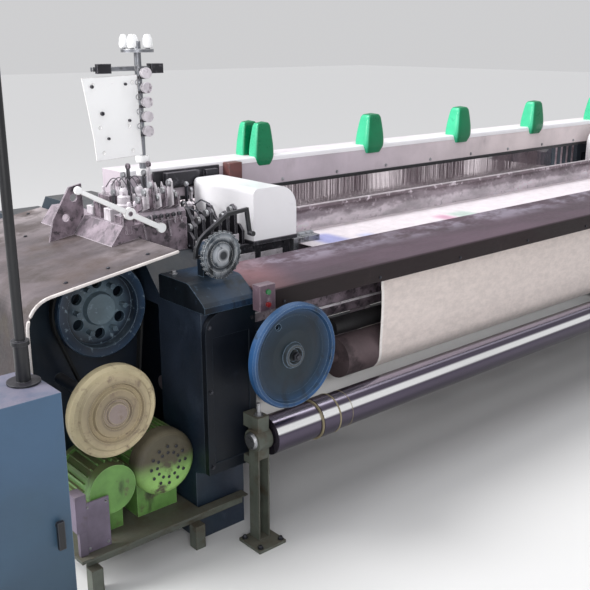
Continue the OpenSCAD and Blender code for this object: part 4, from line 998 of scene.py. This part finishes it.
def hood_trim():
    """Rolled lip along the left hood's front edge, its pale colour a painted highlight on that edge, and
    rows of round-headed screws on its top.
    """
    slope = math.atan2(0.066, 0.45)
    x_end, bend_r, steps = -2.154, 0.094, 60
    z_end = 1.004 + (x_end + 2.15) * math.tan(slope)
    centre = (x_end, z_end - 0.096 / math.cos(slope))
    bend = arc_path(centre, bend_r, 90 + math.degrees(slope), 180, 10)
    line = np.concatenate([[(X_LO - 0.004, 1.068)], bend, [(x_end - bend_r, 0.455)]])
    line, _ = resampled(line, steps)
    path = np.stack([line[:, 0], np.full(steps, -0.688), line[:, 1]], axis=1)
    piece("hood_lip", pipe(path, 0.0055, 8), FIN["lip"], "frame")
    screws = [(x, y, 1.07 + (x + 1.70) * math.tan(slope) - 0.0005)
              for x in (-1.78, -1.93, -2.08) for y in (-0.62, 0.0, 0.30)]
    piece("hood_screws", bolts(screws, "z", 0.006, 0.005), FIN["oily"], "frame")


def wheel_trim():
    """Keyed end of the handwheel's shaft and its hexagon nut."""
    centre = (WHEEL[0], 0, WHEEL[2])
    shaft = [(0, -0.986), (0.008, -0.986), (0.010, -0.984), (0.010, -0.9645), (0, -0.9645)]
    nut = [(0, -0.979), (0.014, -0.979), (0.0165, -0.976), (0.0165, -0.9648), (0, -0.9648)]
    piece("wheel_nut", [turned(shaft, centre, "y", 24), turned(nut, centre, "y", 6)],
          FIN["oily"], "wheel")


def leg_trim():
    """Bearing caps, clamp screws and levelling nuts on the two legs."""
    shapes = []
    for side, edge in ((1, X_L), (-1, X_R)):
        x, clamp = edge - side * 0.066, edge - side * 0.035
        cap = [(0, -side * 0.010), (0.026, -side * 0.010), (0.030, -side * 0.006), (0.032, 0), (0, 0)]
        shapes.append(turned(raised(cap, x), TUBE, "x", 28))
        shapes.append(pipe([(clamp, TUBE[1], z) for z in (0.49, 0.505, 0.52, 0.535)], 0.007, 10))
        shapes.append(bolts([(clamp, TUBE[1], 0.49)], "z", 0.012, 0.012))
    piece("leg_fittings", shapes, FIN["zinc"], "frame")


def tube_trim():
    """Taped rings near the tube's ends and its rolled seam."""
    skin = 0.069
    rings = []
    for x0, x1, r in ((-1.285, -1.279, 0.0757), (-1.200, -1.193, 0.0757), (-1.13, -1.128, 0.0706),
                      (1.80, 1.81, 0.0755)):
        rings.append(turned([(skin, x0), (r, x0), (r, x1), (skin, x1)], TUBE, "x", 64))
    piece("tube_rings", rings, FIN["tape"], "tube")


def stand_details():
    """Thumb screws, eyelets, springs, collars and top caps on the weft stand's panel and post."""
    px, py = POST
    springs, dark, white = [], [], []
    for x, z, r in ((-1.735, 1.585, 0.006), (-1.60, 1.59, 0.005), (-1.70, 1.49, 0.007),
                    (-1.59, 1.46, 0.005), (-1.68, 1.40, 0.005)):
        head = [(0, -0.020), (r, -0.020), (r * 1.1, -0.024), (r, -0.028), (0, -0.029)]
        dark.append(turned(raised(head, py), (x, 0, z), "y", 16))
    turns = np.linspace(0, 2 * math.pi * 7, 120)
    ring = np.linspace(0, 2 * math.pi, 25)
    button = [(0.0052, -0.0375), (0.013, -0.0375), (0.015, -0.034), (0.010, -0.030), (0.0052, -0.030)]
    for z in (1.42, 1.472, 1.524, 1.576, 1.628):
        spring = np.stack([px + 0.0085 * np.cos(turns), py - 0.018 - 0.019 * turns / turns[-1],
                           z + 0.0085 * np.sin(turns)], axis=1)
        springs.append(pipe(spring, 0.0012, 6))
        eye = np.stack([px - 0.035 + 0.009 * np.cos(ring), np.full(25, py - 0.05),
                        z + 0.02 + 0.009 * np.sin(ring)], axis=1)
        springs.append(pipe(eye, 0.0016, 6))
        springs.append(pipe([(px - 0.026, py - 0.05, z + 0.02), (px - 0.013, py - 0.03, z + 0.014),
                             (px - 0.008, py - 0.012, z + 0.010)], 0.0016, 6))
        dark.append(bars([[px - 0.012, py - 0.026, z - 0.022]], [[px + 0.022, py - 0.012, z - 0.012]]))
        white.append(turned(raised(button, py), (px, 0, z), "y", 18))
    knob = [(0, 1.716), (0.014, 1.716), (0.017, 1.728), (0.015, 1.748), (0.009, 1.762), (0, 1.764)]
    for a in np.arange(5) * 2 * math.pi / 5:
        white.append(turned(knob, (px + 0.048 * math.cos(a), py + 0.048 * math.sin(a), 0), "z", 16))
    collar = [(0.0131, 0), (0.024, 0), (0.026, 0.004), (0.026, 0.022), (0.024, 0.026), (0.0131, 0.026)]
    for z in (1.17, 1.25, 1.30):
        white.append(turned(raised(collar, z), (px, py, 0), "z", 24))
    dark.append(bars([[px - 0.18, py - 0.026, 1.628], [px + 0.045, py - 0.022, 1.625]],
                     [[px - 0.125, py - 0.008, 1.662], [px + 0.095, py + 0.014, 1.66]]))
    piece("stand_springs", springs, FIN["zinc"], "frame")
    piece("stand_screws", dark, FIN["dark"], "frame")
    piece("stand_collars", white, FIN["white"], "frame")


def presenters(dark, pale, zinc, mauve):
    """Adds, to the lists by finish, seven presenter blades on a rail, each with a roller, a spring, a
    nozzle, a pipe and a cap.
    """
    rail = [(-0.430, STAND_TOP), (-0.430, 1.144), (-0.420, 1.154), (-0.340, 1.154), (-0.330, 1.144),
            (-0.330, STAND_TOP)]
    mauve.append(carried(rail, "x", X_LO + 0.010, X_L - 0.008))
    pin = [(0, -0.009), (0.011, -0.009), (0.013, -0.006), (0.013, -0.0005), (0, -0.0005)]
    nozzle = [(0, -0.4305), (0.009, -0.4305), (0.009, -0.435), (0.0065, -0.4365), (0.0065, -0.439),
              (0, -0.439)]
    cap = [(0, 1.154), (0.0085, 1.154), (0.0085, 1.176), (0.005, 1.184), (0, 1.184)]
    pipe_y = -0.4352
    for i in range(7):
        x, h = X_LO + 0.018 + 0.026 * i, 1.205 + 0.024 * (i % 3)
        blade = [(-0.396, 1.1542), (-0.428, 1.17), (-0.424, h), (-0.414, h + 0.012), (-0.400, h + 0.006),
                 (-0.398, h - 0.02), (-0.352, 1.1542)]
        (pale if i % 2 else mauve).append(carried(blade, "x", x, x + 0.008))
        zinc.append(turned(raised(pin, x), (0, -0.412, h - 0.004), "x", 18))
        zinc.append(coil((x + 0.014, -0.352, 1.160), (x + 0.014, -0.402, h - 0.045), 0.0055, 0.0012, 9))
        dark.append(turned(nozzle, (x, 0, 1.137), "y", 12))
        drop = 1.060 + 0.022 * ((i * 3) % 4)
        mauve.append(pipe([(x, pipe_y, 1.130), (x, pipe_y, 1.120), (x + 0.004, pipe_y, 1.106),
                           (x + 0.008, pipe_y, drop + 0.02), (x + 0.010, pipe_y, drop)], 0.0036, 7))
        pale.append(turned(cap, (x + 0.002, -0.340, 0), "z", 12))


def feeders(dark, pale, zinc, mauve):
    """Adds two feeder drums, nine cutter blades with rollers, and small blocks with bolts round them."""
    drum = [(0, STAND_TOP), (0.026, STAND_TOP), (0.028, 1.124), (0.028, 1.165), (0.024, 1.170),
            (0.024, 1.195), (0.016, 1.200), (0.016, 1.216), (0.010, 1.226), (0, 1.226)]
    band = [(0.0282, 1.138), (0.0315, 1.138), (0.0315, 1.152), (0.0282, 1.152)]
    for x in (X_LO + 0.034, X_LO + 0.100):
        pale.append(turned(drum, (x, -0.282, 0), "z", 28))
        dark.append(turned(band, (x, -0.282, 0), "z", 28))
    for i in range(9):
        x, h = X_LO + 0.012 + 0.022 * i, 1.20 + 0.03 * ((i * 5) % 4)
        (pale if i % 3 else dark).append(bars([[x, -0.250, STAND_TOP]], [[x + 0.006, -0.232, h]]))
        (mauve if i % 2 else zinc).append(roller(x, -0.241, h + 0.006, 0.012))
    blocks = ((-1.750, -0.40), (-1.752, -0.33), (-1.748, -0.25), (-1.735, -0.17), (-1.56, -0.15),
              (-1.62, -0.14))
    for i, (x, y) in enumerate(blocks):
        top = 1.150 + 0.014 * (i % 3)
        (pale if i % 2 else mauve).append(bars([[x, y, STAND_TOP]], [[x + 0.034, y + 0.046, top]]))
        zinc.append(bolts([(x + 0.017, y + 0.022, top)], "z", 0.007, 0.010))
    mauve.append(bars([[-1.690, -0.215, STAND_TOP], [-1.575, -0.232, STAND_TOP],
                       [-1.640, -0.318, STAND_TOP]], [[-1.590, -0.135, 1.190], [-1.548, -0.120, 1.158],
                                                      [-1.628, -0.252, 1.172]]))


def feeder_details():
    """Presenters, feeders, capped studs with looped pipes, and four fins on the left pedestal."""
    dark, pale, zinc, mauve = [], [], [], []
    presenters(dark, pale, zinc, mauve)
    feeders(dark, pale, zinc, mauve)
    stud_z = 1.190
    t = np.linspace(0, 1, 14)
    for i in range(5):
        x, tall = -1.686 + 0.022 * i, 0.010 * (i % 3)
        stud = [(0, 0), (0.008, 0), (0.008, 0.012), (0.0055, 0.016), (0.0055, 0.030 + tall),
                (0, 0.032 + tall)]
        pale.append(turned(raised(stud, stud_z), (x, -0.170 - 0.02 * (i % 2), 0), "z", 14))
        loop = np.stack([x + 0.02 * t, -0.19 - 0.115 * t,
                         stud_z + 0.030 + 0.055 * np.sin(math.pi * t) - 0.036 * t], axis=1)
        dark.append(pipe(loop, 0.0022, 6))
    for i in range(4):
        x, odd = -1.553 + 0.014 * i, i % 2
        fin = [(-0.300, STAND_TOP), (-0.306, 1.19 + 0.02 * odd), (-0.290, 1.215 + 0.02 * odd),
               (-0.282, 1.19), (-0.268, STAND_TOP)]
        pale.append(carried(fin, "x", x, x + 0.005))
        zinc.append(bolts([(x + 0.005, -0.290, 1.20 + 0.018 * odd)], "x", 0.006, 0.004))
    piece("feeder_nozzles", dark, FIN["dark"], "frame", bevel=0.001)
    piece("feeder_blades", pale, FIN["pale"], "frame", bevel=0.0008)
    piece("feeder_springs", zinc, FIN["zinc"], "frame")
    piece("feeder_pipes", mauve, FIN["violet"], "frame", bevel=0.0008)


def lever_arm():
    """Second arm of the weft lever, up to the left, with a round end."""
    pivot = np.array([X_LO - 0.040, 1.165])
    end = pivot + (-0.1895, 0.1016)
    way = (end - pivot) / math.hypot(*(end - pivot))
    side = np.array([-way[1], way[0]])
    first = pivot + way * 0.020
    prof = [first + side * 0.010, end + side * 0.007, end - side * 0.007, first - side * 0.010]
    boss = [(0, -0.452), (0.011, -0.452), (0.014, -0.450), (0.014, -0.442), (0.011, -0.440), (0, -0.440)]
    shapes = [carried([tuple(p) for p in prof], "y", -0.4515, -0.4405),
              turned(boss, (end[0], 0, end[1]), "y", 32)]
    piece("weft_lever_arm", shapes, FIN["white"], "weft", bevel=0.001)


def picking_rear(pale, dark, zinc):
    """Adds the unit's rear bank: eleven blades with rollers, five blocks with bolts and oil pipes."""
    for i in range(11):
        x, h = X_L + 0.010 + 0.021 * i, 1.10 + 0.026 * ((i * 3) % 4)
        (pale if i % 3 else dark).append(bars([[x, -0.136, 0.9905]], [[x + 0.006, -0.118, h]]))
        zinc.append(roller(x, -0.127, h + 0.004, 0.011))
    for i in range(5):
        x, top = X_L + 0.022 + 0.044 * i, 1.062 + 0.016 * (i % 3)
        pale.append(bars([[x, -0.232, 1.0302]], [[x + 0.024, -0.190, top]]))
        zinc.append(bolts([(x + 0.012, -0.211, top)], "z", 0.006, 0.009))
        dark.append(pipe([(x + 0.012, -0.20, 1.06), (x + 0.014, -0.17, 1.11 + 0.01 * (i % 2)),
                          (x + 0.016, -0.145, 1.12), (x + 0.018, -0.128, 1.09)], 0.0026, 6))


def picking_details():
    """Rollers, return springs, screws and oil pipes on the rockers of the picking unit, and its plates."""
    pale, dark, zinc = [], [], []
    axle = [(0, -0.011), (0.013, -0.011), (0.015, -0.008), (0.015, 0.020), (0.013, 0.023), (0, 0.023)]
    for i in range(6):
        x, z = X_L + 0.016 + 0.037 * i, 1.082 + 0.022 * (i % 3)
        zinc.append(turned(raised(axle, x), (0, -0.426, z - 0.006), "x", 20))
        zinc.append(coil((x + 0.006, -0.272, z - 0.034), (x + 0.006, -0.236, 1.0305), 0.0065, 0.0013, 8))
        pale.append(bars([[x - 0.006, -0.452, 1.000]], [[x + 0.018, -0.4445, 1.028]]))
        dark.append(bolts([(x + 0.006, -0.4445, 1.016)], "y", 0.0045, 0.006, -1))
        taller = 0.008 * (i % 2)
        stud = [(0, 1.0295), (0.009, 1.0295), (0.011, 1.034), (0.011, 1.048 + taller),
                (0.006, 1.056 + taller), (0, 1.056 + taller)]
        pale.append(turned(stud, (x + 0.008, -0.155 - 0.02 * (i % 2), 0), "z", 16))
    for x, way in ((X_L - 0.0005, -1), (X_L + 0.2385, 1)):
        for y, z in ((-0.44, 1.012), (-0.34, 1.012), (-0.36, 1.045)):
            dark.append(bolts([(x, y, z)], "x", 0.008, 0.008, way))
    filler = [(0, 0), (0.012, 0), (0.016, 0.005), (0.016, 0.014), (0.008, 0.020), (0, 0.020)]
    for i in range(3):
        cx, cy, top = X_L + 0.05 + 0.07 * i, -0.19 + 0.014 * i, 1.052 + 0.022 * i
        pale.append(turned(raised(filler, top), (cx, cy, 0), "z", 20))
        dark.append(pipe([(cx + 0.012, cy - 0.012, top + 0.006), (cx + 0.03, cy - 0.04, top + 0.03),
                          (cx + 0.035, cy - 0.09, top + 0.02), (cx + 0.03, -0.315, 1.058),
                          (cx + 0.03, -0.335, 1.036)], 0.0035, 7))
    picking_rear(pale, dark, zinc)
    front = [(X_L + 0.03 + 0.05 * i, -0.469, z) for i in range(9) for z in (0.876, 0.966)]
    dark.append(bolts(front, "y", 0.006, 0.006, -1))
    pale.append(bars([[X_L + 0.012, -0.4735, 0.905], [X_L + 0.20, -0.4735, 0.900],
                      [X_L + 0.31, -0.4735, 0.905]], [[X_L + 0.15, -0.4685, 0.945],
                                                      [X_L + 0.28, -0.4685, 0.950],
                                                      [X_L + 0.42, -0.4685, 0.945]]))
    piece("picking_rollers", zinc, FIN["zinc"], "frame")
    piece("picking_blocks", pale, FIN["pale"], "frame", bevel=0.001)
    piece("picking_screws", dark, FIN["oily"], "frame")


def motor_details():
    """Black discs painted as the shade in the holes of the main motor's fan cover, the second motor's end
    cap, screws on the terminal box.
    """
    hole = [(0, -0.7563), (0.005, -0.7563), (0.0062, -0.7557), (0.0062, -0.7550), (0, -0.7550)]
    holes = []
    for a in np.arange(12) * 2 * math.pi / 12:
        for r in (0.045, 0.068):
            centre = (MOTOR[0] + r * math.cos(a), 0, MOTOR[2] + r * math.sin(a))
            holes.append(turned(hole, centre, "y", 10))
    # Painted shade: black discs for the dark inside seen through the fan cover's holes.
    piece("fan_holes", holes, FIN["black"], "frame")
    cap = [(0, -0.7475), (0.03, -0.7475), (0.05, -0.744), (0.085, -0.7405), (0.085, -0.7395), (0, -0.7395)]
    piece("second_motor_cap", turned(cap, (SECOND[0], 0, SECOND[2]), "y", 48), FIN["motor"], "frame")
    screws = [(x, -0.758, z) for x in (-2.134, -2.066) for z in (0.155, 0.305)]
    piece("terminal_screws", bolts(screws, "y", 0.004, 0.004, -1), FIN["zinc"], "frame")


def cabinet_details():
    """Vent louvres in the control cabinet's side."""
    heights = 0.62 + 0.02 * np.arange(8)
    vents = [bars([[CABINET_SIDE, -0.985, z]], [[CABINET_SIDE + 0.004, -0.885, z + 0.008]])
             for z in heights]
    piece("cabinet_vents", vents, FIN["cabinet"], "frame", bevel=0.0015)


beam_trim()
shade_apron()
green_guides()
frame_bolts()
hood_trim()
wheel_trim()
leg_trim()
tube_trim()
stand_details()
feeder_details()
lever_arm()
picking_details()
motor_details()
cabinet_details()
